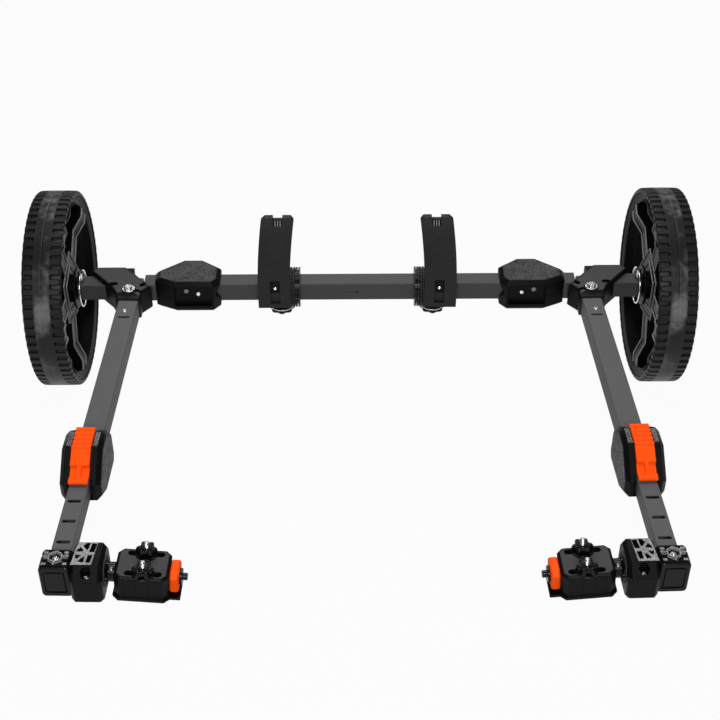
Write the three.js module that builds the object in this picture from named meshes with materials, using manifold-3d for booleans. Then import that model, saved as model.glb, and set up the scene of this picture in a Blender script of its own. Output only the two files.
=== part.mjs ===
// Kayak cart: a telescoping U-shaped frame on two wheels, standing on its wheels and its two arm ends.
// Millimetres, +Z up, +X to the right, arms towards -Y. The origin is on the ground under the middle.
import * as THREE from 'three';
import { mergeVertices } from 'three/addons/utils/BufferGeometryUtils.js';
import Module from 'manifold-3d';

const wasm = await Module();
wasm.setup();

// Fits
const TOUCH_GAP = 0.3;
const RUNNING_GAP = 0.4;
const PARTING_GAP = 0.3;
const CUT_OVERRUN = 2;
const WELD = 0.0005;

// Facets of round pieces
const WHEEL_SIDES = 60;
const ROUND_SIDES = 24;
const SMALL_SIDES = 16;
const BALL_SIDES = 16;
const BAIL_STEPS = 16;
const BAIL_SIDES = 6;
const SLOT_END_STEPS = 4;
const NUT_SIDES = 6;

// Square tubes
const TUBE_SIZE = 30;
const TUBE_WALL = 2;
const INNER_TUBE_SIZE = 25;
const INNER_TUBE_WALL = 2;

// Crossbar and its telescoping ends
const CROSSBAR_HALF_LENGTH = 266;
const BAR_END_OUTER_X = 334;
const BAR_SPIGOT_LENGTH = 150;
const BAR_LATCH_X = 216;

// Wheels
const WHEEL_RADIUS = 151;
const WHEEL_WIDTH = 58;
const WHEEL_CENTRE_X = 463;
const TYRE_DEPTH = 7.5;
const TYRE_SHOULDER = 4;
const RIM_WIDTH = 52;
const RIM_WALL = 3.2;
const RIM_WEB_THICKNESS = 16;
const RIM_WEB_INNER = 13;
const RIM_DISH_RADIUS = 93;
const RIM_DISH_REACH = 24;
const RIM_SPOKES = 5;
const RIM_SPOKE_WIDTH = 28;
const RIM_HUB_FLAT = 48;
const RIM_WINDOW_STEPS = 6;
const RIM_WINDOW_MARGIN = 5;
const HUB_RADIUS = 22;
const HUB_FLANGE_RADIUS = 31;
const HUB_FLANGE_THICKNESS = 4;
const HUB_INNER_REACH = 25;
const HUB_OUTER_REACH = 28;

// Axle and its lock pin
const AXLE_STUB_SIZE = 27;
const AXLE_STUB_INNER_X = 370;
const AXLE_STUB_OUTER_X = 437;
const SPINDLE_RADIUS = 8;
const AXLE_HEAD_RADIUS = 14;
const AXLE_HEAD_THICKNESS = 3;
const LOCK_PIN_X = 431.5;
const LOCK_PIN_RADIUS = 3;
const LOCK_PIN_REACH = 8;
const LOCK_PIN_HEAD_RADIUS = 5;
const LOCK_PIN_HEAD_HEIGHT = 16;
const BAIL_RADIUS = 28;
const BAIL_WIRE_RADIUS = 1.4;

// Corner bracket: places are x from the arm's centre line and y from the crossbar's
const BRACKET_THICKNESS = 40;
const BRACKET_WIDTH = 99.5;
const BRACKET_DEPTH = 76;
const BRACKET_INNER_X = 321;
const BRACKET_FRONT_Y = -46;
const BRACKET_CHAMFER = 2.5;
const BRACKET_POCKET_DEPTH = 4;
const BRACKET_OUTLINE_SHARES = [
  [1, 0.85], [0.89, 1], [0.46, 1], [0.3, 0.765], [0, 0.275],
  [0.13, 0.055], [0.19, 0], [0.53, 0], [0.605, 0.22],
];
const NOSE_FRONT_Y = -57;
const NOSE_BACK_Y = -40;
const NOSE_WALL = 2.2;
const NOSE_RISE = 2.5;
const NOSE_CHAMFER = 1.5;
const BUMP_INNER_X = 353;
const BUMP_OUTER_X = 372;
const BUMP_FRONT_Y = 8;
const BUMP_BACK_Y = 30;
const BUMP_TOP = 17;
const BOLT_RADIUS = 4;
const BOLT_Y = -33.5;
const BOLT_OUTWARD = 2.5;
const BOLT_HEAD_RADIUS = 6;
const BOLT_HEAD_HEIGHT = 4.5;
const BOLT_WASHER_RADIUS = 10;
const BOLT_WASHER_THICKNESS = 1.6;
const BOLT_NUT_HEIGHT = 5;
const POCKET_LENGTH = 12;
const POCKET_WIDTH = 8;
const POCKET_PLACE_SHARES = [[0.585, 0.36], [0.12, 0.33], [0.2, 0.09]];
const POCKET_TURNS = [0, 135, 30];

// Arms
const ARM_ROOT_X = 351;
const ARM_SPLAY = THREE.MathUtils.degToRad(1.55);
const ARM_TUBE_START_Y = 5;
const ARM_LATCH_Y = -365;
const ARM_MARK_SLOT_Y = -99.3;
const ARM_CLAMPED_LENGTH = 60;
const ARM_INNER_START_Y = -240;
const ARM_INNER_END_Y = -612;
const SLOT_LENGTH = 17.5;
const SLOT_WIDTH = 4.6;
const SLOT_PITCH = 36;
const ARM_SLOTS = 4;
const ARM_HIDDEN_SLOTS = 4;
const BAR_SLOTS = 3;

// Latch housings and levers: u runs along the tube away from the clamped end, v towards the lever
const LATCH_LENGTH = 100;
const LATCH_RISE = 42;
const LATCH_BACK = 30.5;
const LATCH_THICKNESS = 53;
const LATCH_CHAMFER = 6;
const LATCH_OUTLINE_SHARES = [
  [0, -0.6], [0.095, -1], [0.69, -1], [1, -0.5], [1, 0.24], [0.605, 1], [0.29, 1], [0, 0.46],
];
const LATCH_FLOOR = 2.2;
const LATCH_RECESS_DEPTH = 8;
const LATCH_RECESS_START = 17;
const LATCH_RECESS_END = 67;
const LATCH_RECESS_WIDTH = 28;
const LATCH_NOTCH_DEPTH = 7;
const LATCH_NOTCH_WIDTH = 24;
const LEVER_WIDTH = 25;
const LEVER_START = 24.5;
const LEVER_TOP = 44;
const LEVER_THICKNESS = 6;
const LEVER_RIBS = 5;
const LEVER_RIB_PITCH = 8;
const LEVER_RIB_HEIGHT = 1.8;
const LEVER_RIB_SHARES = [[0.15, 0], [0.4, 1], [0.8, 1], [1, 0]];
const LEVER_SLOPE_END = 98;
const LEVER_SLOPE_LOW = 21;
const LEVER_END = 104.5;
const LEVER_LIP_BOTTOM = 15.8;
const LEVER_WAIST_START = 85;
const LEVER_WAIST_END = 97;
const LEVER_WAIST_DEPTH = 3.4;
const LEVER_STEM_WIDTH = 6;
const LEVER_PIVOT_U = 62;
const LEVER_PIVOT_V = 35;
const LEVER_PIVOT_RADIUS = 2.5;
const LEVER_BOSS_RADIUS = 5;
const TRUNNION_REACH = 5;
const TOOTH_LENGTH = 4;
const TOOTH_WIDTH = 10;
const TOOTH_U = 94.5;

// Knuckle on each arm end: x is measured inwards from the arm's centre line
const COLLAR_WIDTH = 37.5;
const COLLAR_HEIGHT = 48;
const COLLAR_BACK_Y = -592;
const COLLAR_FRONT_Y = -619;
const CAP_THICKNESS = 4;
const CAP_CORNER = 4;
const CAP_PANEL_WIDTH = 25;
const CAP_PANEL_HEIGHT = 33;
const CAP_PANEL_DEPTH = 1.5;
const KNUCKLE_WIDTH = 38;
const KNUCKLE_FLANK = 9;
const KNUCKLE_BACK_Y = -572;
const KNUCKLE_FRONT_Y = -635;
const KNUCKLE_TOP = 25;
const KNUCKLE_BOTTOM = 28;
const KNUCKLE_OUTLINE_SHARES = [
  [0, -0.55], [0.2, -1], [0.875, -1], [1, -0.72], [1, 0.48], [0.73, 1], [0.13, 1], [0, 0.5],
];
const KNUCKLE_RECESS_RADIUS = 6.5;
const KNUCKLE_RECESS_Y = -625;
const KNUCKLE_RECESS_FLOOR = 9;
const NUT_RADIUS = 6;
const NUT_POCKET_DEPTH = 5;
const COLLAR_NUT_Y = -603;
const COLLAR_NUT_X = 2;
const PIVOT_Y = -603;
const BALL_RADIUS = 12;
const BALL_SINK = 6;
const NECK_STEM_RADIUS = 8;
const NECK_COLLAR_RADIUS = 12;
const NECK_COLLAR_START = 59.5;
const NECK_SHAFT_RADIUS = 7;
const SOCKET_MOUTH_RADIUS = 15;

// Track base, about the axis of the neck's shaft
const BASE_START = 69;
const BASE_LENGTH = 65;
const TRACK_BOLT_X = 103.5;
const BASE_DEPTH = 51;
const BASE_TOP = 17;
const BASE_BOTTOM = 20;
const BASE_ROLL = THREE.MathUtils.degToRad(4.5);
const BASE_CORNER = 7;
const BASE_CHAMFER = 2.5;
const BASE_LIP = 2;
const BASE_LIP_HEIGHT = 3.6;
const BASE_TAB_LENGTH = 14;
const BASE_TAB_INSET = 4.5;
const TRACK_SLOT_MARGIN = 11;
const TRACK_SLOT_WIDTH = 6.8;
const TRACK_SLOT_SPACING = 33;
const TRACK_STUD_RADIUS = 3;
const TRACK_STUD_TIP = 21;
const TRACK_HEAD_LENGTH = 16;
const TRACK_HEAD_WIDTH = 9;
const TRACK_HEAD_THICKNESS = 3;
const TRACK_HEAD_SINK = 3;
const TRACK_KNOB_RADIUS = 12;
const TRACK_KNOB_LOBES = 6;
const TRACK_KNOB_LOBE_SHARE = 0.13;
const TRACK_KNOB_SIDES = 24;
const TRACK_KNOB_HEIGHT = 13;
const TRACK_KNOB_SHARES = [[0.72, 0], [1, 0.12], [1, 0.7], [0.78, 1]];

// Release catch on the inner end of each base
const CATCH_THICKNESS = 11;
const CATCH_DEPTH = 34;
const CATCH_HEIGHT = 32;
const CATCH_CORNER = 6;
const CATCH_CHAMFER = 2;
const CATCH_PIN_RADIUS = 4.5;
const CATCH_PIN_REACH = 9;
const CATCH_WASHER_RADIUS = 10;
const CATCH_WASHER_THICKNESS = 3;

// Hull supports
const SUPPORT_CENTRE_LEFT = 132.5;
const SUPPORT_CENTRE_RIGHT = 123.6;
const SLEEVE_RADIUS = 23.5;
const SUPPORT_HUB_RADIUS = 29;
const SUPPORT_DISC_RADIUS = 31;
const SUPPORT_DISC_THICKNESS = 7;
const SUPPORT_TOOTH_COUNT = 24;
const SUPPORT_TOOTH_DEPTH_SHARE = 0.06;
const SUPPORT_DISC_GAP = 1;
const SUPPORT_BOSS_RADIUS = 9;
const PAD_WIDTH = 49;
const PAD_FACE_Y = -33;
const PAD_BOTTOM = -17;
const PAD_STRAIGHT_TOP = 60;
const PAD_TOP = 136;
const PAD_BEND = 15;
const PAD_BEND_STEPS = 6;
const PAD_THICKNESS = 13;
const PAD_TIP_THICKNESS = 9;
const PAD_SWAY = 9.5;
const PAD_CORNER = 5;
const PAD_NOTCH_WIDTH = 14;
const PAD_NOTCH_DEPTH = 4;
const PAD_RECESS_TOP = 33;
const PAD_RECESS_BOTTOM = -9;
const PAD_RECESS_WIDTH = 15;
const PAD_RECESS_INWARD = 2;
const PAD_RECESS_DEPTH = 4;
const SUPPORT_KNOB_RADIUS = 22;
const SUPPORT_KNOB_HEIGHT = 10;
const SUPPORT_KNOB_OFFSET = 10;
const SUPPORT_KNOB_LOBES = 8;
const SUPPORT_KNOB_LOBE_SHARE = 0.06;
const SUPPORT_KNOB_SIDES = 32;
const SUPPORT_KNOB_SHARES = [[0.9, 0], [1, 0.25], [1, 0.55], [0.7, 1]];

// Finishes
const finishes = {
  tube: { color: 0x5b5b5d, roughness: 0.45, metalness: 0.6 },
  black: { color: 0x151515, roughness: 0.6, metalness: 0 },
  grey: { color: 0x3a3a3b, roughness: 0.75, metalness: 0 },
  orange: { color: 0xff5500, roughness: 0.45, metalness: 0 },
  rubber: { color: 0x1a1a1a, roughness: 0.85, metalness: 0 },
  zinc: { color: 0xc9c9c9, roughness: 0.3, metalness: 0.9 },
};

function finish(name) {
  return new THREE.MeshStandardMaterial(finishes[name]);
}

// A closed mesh becomes a solid that can be joined and cut
function toSolid(geometry) {
  const bare = geometry.clone();
  bare.deleteAttribute('normal');
  bare.deleteAttribute('uv');
  const merged = mergeVertices(bare, WELD);
  return new wasm.Manifold(new wasm.Mesh({
    numProp: 3,
    vertProperties: new Float32Array(merged.attributes.position.array),
    triVerts: new Uint32Array(merged.index.array),
  }));
}

function toGeometry(solid) {
  const mesh = solid.getMesh();
  const geometry = new THREE.BufferGeometry();
  geometry.setAttribute('position', new THREE.Float32BufferAttribute(mesh.vertProperties, 3));
  geometry.setIndex(Array.from(mesh.triVerts));
  return geometry;
}

// The mirror image across the plane x = 0, with its faces still pointing out
function mirrored(geometry) {
  geometry.scale(-1, 1, 1);
  const index = geometry.index.array;
  for (let i = 0; i < index.length; i += 3) {
    const second = index[i + 1];
    index[i + 1] = index[i + 2];
    index[i + 2] = second;
  }
  return geometry;
}

// Turns of the drawing plane: each maps (first, second, along) to the row named by the axis
const turnTo = {
  x: new THREE.Matrix4().set(0, 0, 1, 0, 1, 0, 0, 0, 0, 1, 0, 0, 0, 0, 0, 1),
  y: new THREE.Matrix4().set(0, 1, 0, 0, 0, 0, 1, 0, 1, 0, 0, 0, 0, 0, 0, 1),
  z: new THREE.Matrix4(),
};

// A block between two values on each axis
function block(xs, ys, zs) {
  const geometry = new THREE.BoxGeometry(xs[1] - xs[0], ys[1] - ys[0], zs[1] - zs[0]);
  geometry.translate((xs[0] + xs[1]) / 2, (ys[0] + ys[1]) / 2, (zs[0] + zs[1]) / 2);
  return toSolid(geometry);
}

// An outline pushed along an axis, with its end edges chamfered inwards where a chamfer is given.
// The outline's pairs are (x, y) along z, (y, z) along x and (z, x) along y.
function prism(axis, outline, from, to, chamfer = 0) {
  const shape = new THREE.Shape(outline.map(([a, b]) => new THREE.Vector2(a, b)));
  const geometry = new THREE.ExtrudeGeometry(shape, {
    depth: to - from - 2 * chamfer,
    bevelEnabled: chamfer > 0,
    bevelThickness: chamfer,
    bevelSize: chamfer,
    bevelOffset: -chamfer,
    bevelSegments: 1,
    steps: 1,
  });
  geometry.translate(0, 0, from + chamfer);
  geometry.applyMatrix4(turnTo[axis]);
  return toSolid(geometry);
}

// A profile of [radius, height] pairs turned about an axis and closed on it
function turned(axis, profile, sides) {
  const points = profile.map(([radius, height]) => new THREE.Vector2(radius, height));
  const first = new THREE.Vector2(0, points[0].y);
  const last = new THREE.Vector2(0, points[points.length - 1].y);
  const geometry = new THREE.LatheGeometry([first, ...points, last], sides);
  geometry.rotateX(Math.PI / 2);
  geometry.applyMatrix4(turnTo[axis]);
  return toSolid(geometry);
}

function rod(axis, radius, from, to, sides = ROUND_SIDES) {
  return turned(axis, [[radius, from], [radius, to]], sides);
}

// A square tube along an axis, centred on it
function squareTube(axis, size, wall, from, to) {
  const half = size / 2;
  const bore = half - wall;
  const square = (reach) => [[-reach, -reach], [reach, -reach], [reach, reach], [-reach, reach]];
  const outside = prism(axis, square(half), from, to);
  return outside.subtract(prism(axis, square(bore), from - CUT_OVERRUN, to + CUT_OVERRUN));
}

// An outline of a slot with round ends, long way along the first direction
function slotOutline(length, width) {
  const radius = width / 2;
  const reach = length / 2 - radius;
  const points = [];
  for (const end of [0, Math.PI]) {
    for (let i = 0; i <= SLOT_END_STEPS; i += 1) {
      const angle = end - Math.PI / 2 + (Math.PI * i) / SLOT_END_STEPS;
      points.push([Math.cos(end) * reach + radius * Math.cos(angle), radius * Math.sin(angle)]);
    }
  }
  return points;
}

// A round outline whose radius swells into lobes
function lobedRing(radius, lobes, share, sides) {
  const points = [];
  for (let i = 0; i < sides; i += 1) {
    const angle = (2 * Math.PI * i) / sides;
    const reach = radius * (1 + share * Math.cos(lobes * angle)) / (1 + share);
    points.push([reach * Math.cos(angle), reach * Math.sin(angle)]);
  }
  return points;
}

// A lobed knob lofted through rings, each a share of the radius at a share of the height
function lobedKnob(radius, height, lobes, share, sides, rings) {
  const ring = lobedRing(radius, lobes, share, sides);
  const positions = [];
  for (const [radiusShare, heightShare] of rings) {
    for (const [a, b] of ring) {
      positions.push(a * radiusShare, b * radiusShare, height * heightShare);
    }
  }
  positions.push(0, 0, height * rings[0][1], 0, 0, height * rings[rings.length - 1][1]);
  const bottom = rings.length * sides;
  const index = [];
  for (let i = 0; i < sides; i += 1) {
    const next = (i + 1) % sides;
    for (let k = 0; k + 1 < rings.length; k += 1) {
      const low = k * sides;
      const high = low + sides;
      index.push(low + i, low + next, high + next, low + i, high + next, high + i);
    }
    const rim = (rings.length - 1) * sides;
    index.push(bottom, next, i, bottom + 1, rim + i, rim + next);
  }
  const geometry = new THREE.BufferGeometry();
  geometry.setAttribute('position', new THREE.Float32BufferAttribute(positions, 3));
  geometry.setIndex(index);
  return toSolid(geometry);
}

// Puts a named mesh in a group, mirrored where the side is negative
function add(group, name, solid, finishName, side = 1) {
  const geometry = side < 0 ? mirrored(toGeometry(solid)) : toGeometry(solid);
  geometry.computeVertexNormals();
  const mesh = new THREE.Mesh(geometry, finish(finishName));
  mesh.name = name;
  group.add(mesh);
  return mesh;
}

// Outline points given as shares of a width and a depth, from a corner
function outlineFrom(shares, x0, width, y0, depth) {
  return shares.map(([a, b]) => [x0 + a * width, y0 + b * depth]);
}

// Crossbar
function crossbarTube() {
  return squareTube('x', TUBE_SIZE, TUBE_WALL, -CROSSBAR_HALF_LENGTH, CROSSBAR_HALF_LENGTH);
}

// Slot across a tube's top wall, with its long way along the second direction
function slotCut(depth) {
  const outline = slotOutline(SLOT_LENGTH, SLOT_WIDTH);
  return prism('z', outline.map(([a, b]) => [-b, a]), -depth, CUT_OVERRUN);
}

// The end of the crossbar: a full-size tube that meets the crossbar, with a spigot inside it
function barEndTube() {
  const start = CROSSBAR_HALF_LENGTH + TOUCH_GAP;
  const body = squareTube('x', TUBE_SIZE, TUBE_WALL, start, BAR_END_OUTER_X);
  const joined = TUBE_SIZE - INNER_TUBE_SIZE;
  let spigot = squareTube('x', INNER_TUBE_SIZE, INNER_TUBE_WALL, start - BAR_SPIGOT_LENGTH, start + joined);
  const collar = squareTube('x', TUBE_SIZE, joined / 2 + INNER_TUBE_WALL, start, start + joined);
  spigot = spigot.add(collar);
  const slot = slotCut(TUBE_SIZE / 2).rotate([-90, 0, 0]);
  let tube = body.add(spigot);
  for (let i = 0; i <= BAR_SLOTS; i += 1) {
    const x = BAR_LATCH_X + TOOTH_U - i * SLOT_PITCH;
    const surface = x > start ? TUBE_SIZE / 2 : INNER_TUBE_SIZE / 2;
    tube = tube.subtract(slot.translate([x, surface, 0]));
  }
  return tube;
}

// Latch housing, in the latch's own directions u, v and across
function latchHousing() {
  const outline = LATCH_OUTLINE_SHARES.map(([a, b]) => [
    a * LATCH_LENGTH, b * (b > 0 ? LATCH_RISE : LATCH_BACK),
  ]);
  const half = LATCH_THICKNESS / 2;
  const channel = TUBE_SIZE / 2 + TOUCH_GAP;
  const slot = LEVER_WIDTH / 2 + RUNNING_GAP;
  const ends = [-CUT_OVERRUN, LATCH_LENGTH + CUT_OVERRUN];
  const roofEnd = CROSSBAR_HALF_LENGTH - BAR_LATCH_X;
  const top = LATCH_RISE + CUT_OVERRUN;
  let body = prism('z', outline, -half, half, LATCH_CHAMFER);
  body = body.subtract(block(ends, [-channel, channel], [-channel, channel]));
  body = body.subtract(block(ends, [channel + LATCH_FLOOR, top], [-slot, slot]));
  body = body.subtract(block([roofEnd, ends[1]], [channel - CUT_OVERRUN, top], [-slot, slot]));
  const recess = LATCH_RECESS_WIDTH / 2;
  body = body.subtract(block([LATCH_RECESS_START, LATCH_RECESS_END],
    [-LATCH_BACK - CUT_OVERRUN, LATCH_RECESS_DEPTH - LATCH_BACK], [-recess, recess]));
  const notch = LATCH_NOTCH_WIDTH / 2;
  const wedge = prism('y', [[-notch, 0], [0, LATCH_NOTCH_DEPTH], [notch, 0], [0, -LATCH_NOTCH_DEPTH]],
    -LATCH_BACK - CUT_OVERRUN, 0);
  body = body.subtract(wedge);
  const reach = slot + TRUNNION_REACH + TOUCH_GAP;
  const hole = rod('z', LEVER_PIVOT_RADIUS + TOUCH_GAP, -reach, reach, SMALL_SIDES);
  return body.subtract(hole.translate([LEVER_PIVOT_U, LEVER_PIVOT_V, 0]));
}

// One half of the housing: side 1 lies above the parting plane and side -1 below it
function latchShell(housing, side) {
  const gap = PARTING_GAP / 2;
  const far = LATCH_THICKNESS;
  const keep = side > 0 ? [gap, far] : [-far, -gap];
  const reach = [-2 * LATCH_LENGTH, 2 * LATCH_LENGTH];
  return housing.intersect(block(reach, reach, keep));
}

// Rocking lever with a ribbed thumb end, a waist and a lip, and a tooth that reaches for the slots
function latchLever(toothTip) {
  const low = LEVER_TOP - LEVER_THICKNESS;
  const ridges = [];
  for (let i = 0; i < LEVER_RIBS; i += 1) {
    for (const [share, rise] of LEVER_RIB_SHARES) {
      const u = LEVER_START + (i + share) * LEVER_RIB_PITCH;
      ridges.push([u, LEVER_TOP + (rise - 1) * LEVER_RIB_HEIGHT]);
    }
  }
  const flatEnd = LEVER_START + LEVER_RIBS * LEVER_RIB_PITCH;
  const outline = [
    [LEVER_START, low],
    ...ridges,
    [LEVER_SLOPE_END, LEVER_SLOPE_LOW],
    [LEVER_END, LEVER_SLOPE_LOW - LEVER_RIB_HEIGHT],
    [LEVER_END, LEVER_LIP_BOTTOM],
    [LEVER_WAIST_START, LEVER_LIP_BOTTOM],
    [flatEnd - LEVER_THICKNESS / 2, low],
  ].reverse();
  const half = LEVER_WIDTH / 2;
  let lever = prism('z', outline, -half, half);
  const stem = LEVER_STEM_WIDTH / 2;
  const slope = (LEVER_SLOPE_LOW - LEVER_TOP) / (LEVER_SLOPE_END - flatEnd);
  const surface = (u) => LEVER_TOP + slope * (u - flatEnd);
  const waistOutline = [
    [LEVER_WAIST_START, LEVER_TOP],
    [LEVER_WAIST_START, surface(LEVER_WAIST_START) - LEVER_WAIST_DEPTH],
    [LEVER_WAIST_END, surface(LEVER_WAIST_END) - LEVER_WAIST_DEPTH],
    [LEVER_WAIST_END, LEVER_TOP],
  ];
  for (const side of [-1, 1]) {
    const near = side * stem;
    const far = side * (half + CUT_OVERRUN);
    lever = lever.subtract(prism('z', waistOutline, Math.min(near, far), Math.max(near, far)));
  }
  const boss = rod('z', LEVER_BOSS_RADIUS, -half, half, SMALL_SIDES);
  const pin = rod('z', LEVER_PIVOT_RADIUS, -half - TRUNNION_REACH, half + TRUNNION_REACH, SMALL_SIDES);
  lever = lever.add(boss.add(pin).translate([LEVER_PIVOT_U, LEVER_PIVOT_V, 0]));
  const tooth = block([TOOTH_U - TOOTH_LENGTH / 2, TOOTH_U + TOOTH_LENGTH / 2],
    [toothTip, LEVER_LIP_BOTTOM + LEVER_RIB_HEIGHT], [-TOOTH_WIDTH / 2, TOOTH_WIDTH / 2]);
  return lever.add(tooth);
}

// Corner bracket that holds the crossbar's end, the arm and the axle
function cornerBracket() {
  const half = BRACKET_THICKNESS / 2;
  const corner = [BRACKET_INNER_X, BRACKET_WIDTH, BRACKET_FRONT_Y, BRACKET_DEPTH];
  const atShares = (shares) => outlineFrom(shares, ...corner);
  const outline = atShares(BRACKET_OUTLINE_SHARES);
  let body = prism('z', outline, -half, half, BRACKET_CHAMFER);
  body = body.add(bracketNose());
  body = body.add(block([BUMP_INNER_X, BUMP_OUTER_X], [BUMP_FRONT_Y, BUMP_BACK_Y], [-BUMP_TOP, BUMP_TOP]));
  const channel = TUBE_SIZE / 2 + TOUCH_GAP;
  const far = BRACKET_WIDTH;
  body = body.subtract(block([BAR_END_OUTER_X - far, BAR_END_OUTER_X + TOUCH_GAP],
    [-channel, channel], [-channel, channel]));
  const armCut = block([-channel, channel], [-far, ARM_TUBE_START_Y + TOUCH_GAP], [-channel, channel]);
  const splay = THREE.MathUtils.radToDeg(ARM_SPLAY);
  body = body.subtract(armCut.rotate([0, 0, splay]).translate([ARM_ROOT_X, 0, 0]));
  const socket = AXLE_STUB_SIZE / 2 + TOUCH_GAP;
  body = body.subtract(block([AXLE_STUB_INNER_X - TOUCH_GAP, AXLE_STUB_INNER_X + far],
    [-socket, socket], [-socket, socket]));
  const place = boltPlace();
  const hole = rod('z', BOLT_RADIUS + TOUCH_GAP, -half - CUT_OVERRUN, half + CUT_OVERRUN, SMALL_SIDES);
  body = body.subtract(hole.translate([place.x, place.y, 0]));
  const pocket = block([-POCKET_LENGTH / 2, POCKET_LENGTH / 2], [-POCKET_WIDTH / 2, POCKET_WIDTH / 2],
    [half - BRACKET_POCKET_DEPTH, half + CUT_OVERRUN]);
  for (const [i, [x, y]] of atShares(POCKET_PLACE_SHARES).entries()) {
    body = body.subtract(pocket.rotate([0, 0, POCKET_TURNS[i]]).translate([x, y, 0]));
  }
  return body;
}

// Short square nose that wraps the arm tube in front of the bracket
function bracketNose() {
  const wide = TUBE_SIZE / 2 + NOSE_WALL;
  const tall = TUBE_SIZE / 2 + NOSE_RISE;
  const section = [[-tall, -wide], [tall, -wide], [tall, wide], [-tall, wide]];
  const nose = prism('y', section, NOSE_FRONT_Y, NOSE_BACK_Y, NOSE_CHAMFER);
  return nose.rotate([0, 0, THREE.MathUtils.radToDeg(ARM_SPLAY)]).translate([ARM_ROOT_X, 0, 0]);
}

function boltPlace() {
  const x = ARM_ROOT_X + BOLT_OUTWARD / Math.cos(ARM_SPLAY) - BOLT_Y * Math.tan(ARM_SPLAY);
  return { x, y: BOLT_Y };
}

// Bolt with its washer above the bracket and its nut below
function bracketBolt() {
  const half = BRACKET_THICKNESS / 2 + TOUCH_GAP;
  const neck = half + BOLT_WASHER_THICKNESS;
  return turned('z', [
    [BOLT_HEAD_RADIUS, -half - BOLT_NUT_HEIGHT], [BOLT_HEAD_RADIUS, -half],
    [BOLT_RADIUS, -half], [BOLT_RADIUS, half],
    [BOLT_WASHER_RADIUS, half], [BOLT_WASHER_RADIUS, neck],
    [BOLT_HEAD_RADIUS, neck], [BOLT_HEAD_RADIUS, neck + BOLT_HEAD_HEIGHT],
  ], SMALL_SIDES);
}

// Axle: a square stub that plugs into the bracket and a round spindle with a head
function axle() {
  const half = AXLE_STUB_SIZE / 2;
  const hubEnd = WHEEL_CENTRE_X + HUB_OUTER_REACH;
  const stub = block([AXLE_STUB_INNER_X, AXLE_STUB_OUTER_X], [-half, half], [-half, half]);
  const spindle = turned('x', [
    [SPINDLE_RADIUS, AXLE_STUB_OUTER_X - half],
    [SPINDLE_RADIUS, hubEnd + RUNNING_GAP],
    [AXLE_HEAD_RADIUS, hubEnd + RUNNING_GAP],
    [AXLE_HEAD_RADIUS, hubEnd + RUNNING_GAP + AXLE_HEAD_THICKNESS],
  ], ROUND_SIDES);
  const hole = rod('z', LOCK_PIN_RADIUS + TOUCH_GAP, -AXLE_STUB_SIZE, AXLE_STUB_SIZE, SMALL_SIDES);
  return stub.add(spindle).subtract(hole.translate([LOCK_PIN_X, 0, 0]));
}

// Lock pin through the stub, with a head that carries the bail
function lockPin() {
  const half = AXLE_STUB_SIZE / 2;
  const headBottom = half + TOUCH_GAP;
  return turned('z', [
    [LOCK_PIN_RADIUS, -half - LOCK_PIN_REACH], [LOCK_PIN_RADIUS, headBottom],
    [LOCK_PIN_HEAD_RADIUS, headBottom], [LOCK_PIN_HEAD_RADIUS, headBottom + LOCK_PIN_HEAD_HEIGHT],
  ], SMALL_SIDES);
}

// Wire ring that closes round the stub from the pin's head
function pinBail() {
  const start = Math.atan2(LOCK_PIN_HEAD_RADIUS + 2 * TOUCH_GAP, BAIL_RADIUS);
  const points = [];
  for (let i = 0; i <= BAIL_STEPS; i += 1) {
    const angle = start + ((2 * Math.PI - 2 * start) * i) / BAIL_STEPS;
    points.push(new THREE.Vector3(0, BAIL_RADIUS * Math.sin(angle), BAIL_RADIUS * Math.cos(angle)));
  }
  const path = new THREE.CatmullRomCurve3(points);
  const wire = lobedRing(BAIL_WIRE_RADIUS, 1, 0, BAIL_SIDES).map(([a, b]) => new THREE.Vector2(a, b));
  return toSolid(new THREE.ExtrudeGeometry(new THREE.Shape(wire), {
    steps: BAIL_STEPS,
    bevelEnabled: false,
    extrudePath: path,
  }));
}

// Wheel, about its own centre
function tyre() {
  const half = WHEEL_WIDTH / 2;
  const seat = WHEEL_RADIUS - TYRE_DEPTH;
  const outer = WHEEL_RADIUS;
  const ring = turned('x', [
    [outer - TYRE_SHOULDER, -half], [outer, TYRE_SHOULDER - half],
    [outer, half - TYRE_SHOULDER], [outer - TYRE_SHOULDER, half],
  ], WHEEL_SIDES);
  return ring.subtract(rod('x', seat, -half - CUT_OVERRUN, half + CUT_OVERRUN, WHEEL_SIDES));
}

// Opening between two spokes: its middle is on the first direction, and its inner end follows two flats
// of the five-sided hub plate
function rimWindow(outer) {
  const half = RIM_SPOKE_WIDTH / 2;
  const pitch = Math.PI / RIM_SPOKES;
  const reach = pitch - Math.asin(half / outer);
  const points = [];
  for (let i = 0; i <= RIM_WINDOW_STEPS; i += 1) {
    const angle = reach * ((2 * i) / RIM_WINDOW_STEPS - 1);
    points.push([outer * Math.cos(angle), outer * Math.sin(angle)]);
  }
  const base = new THREE.Vector2(RIM_HUB_FLAT, -half).rotateAround(new THREE.Vector2(), pitch);
  return [...points, [base.x, base.y], [RIM_HUB_FLAT / Math.cos(pitch), 0], [base.x, -base.y]];
}

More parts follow.
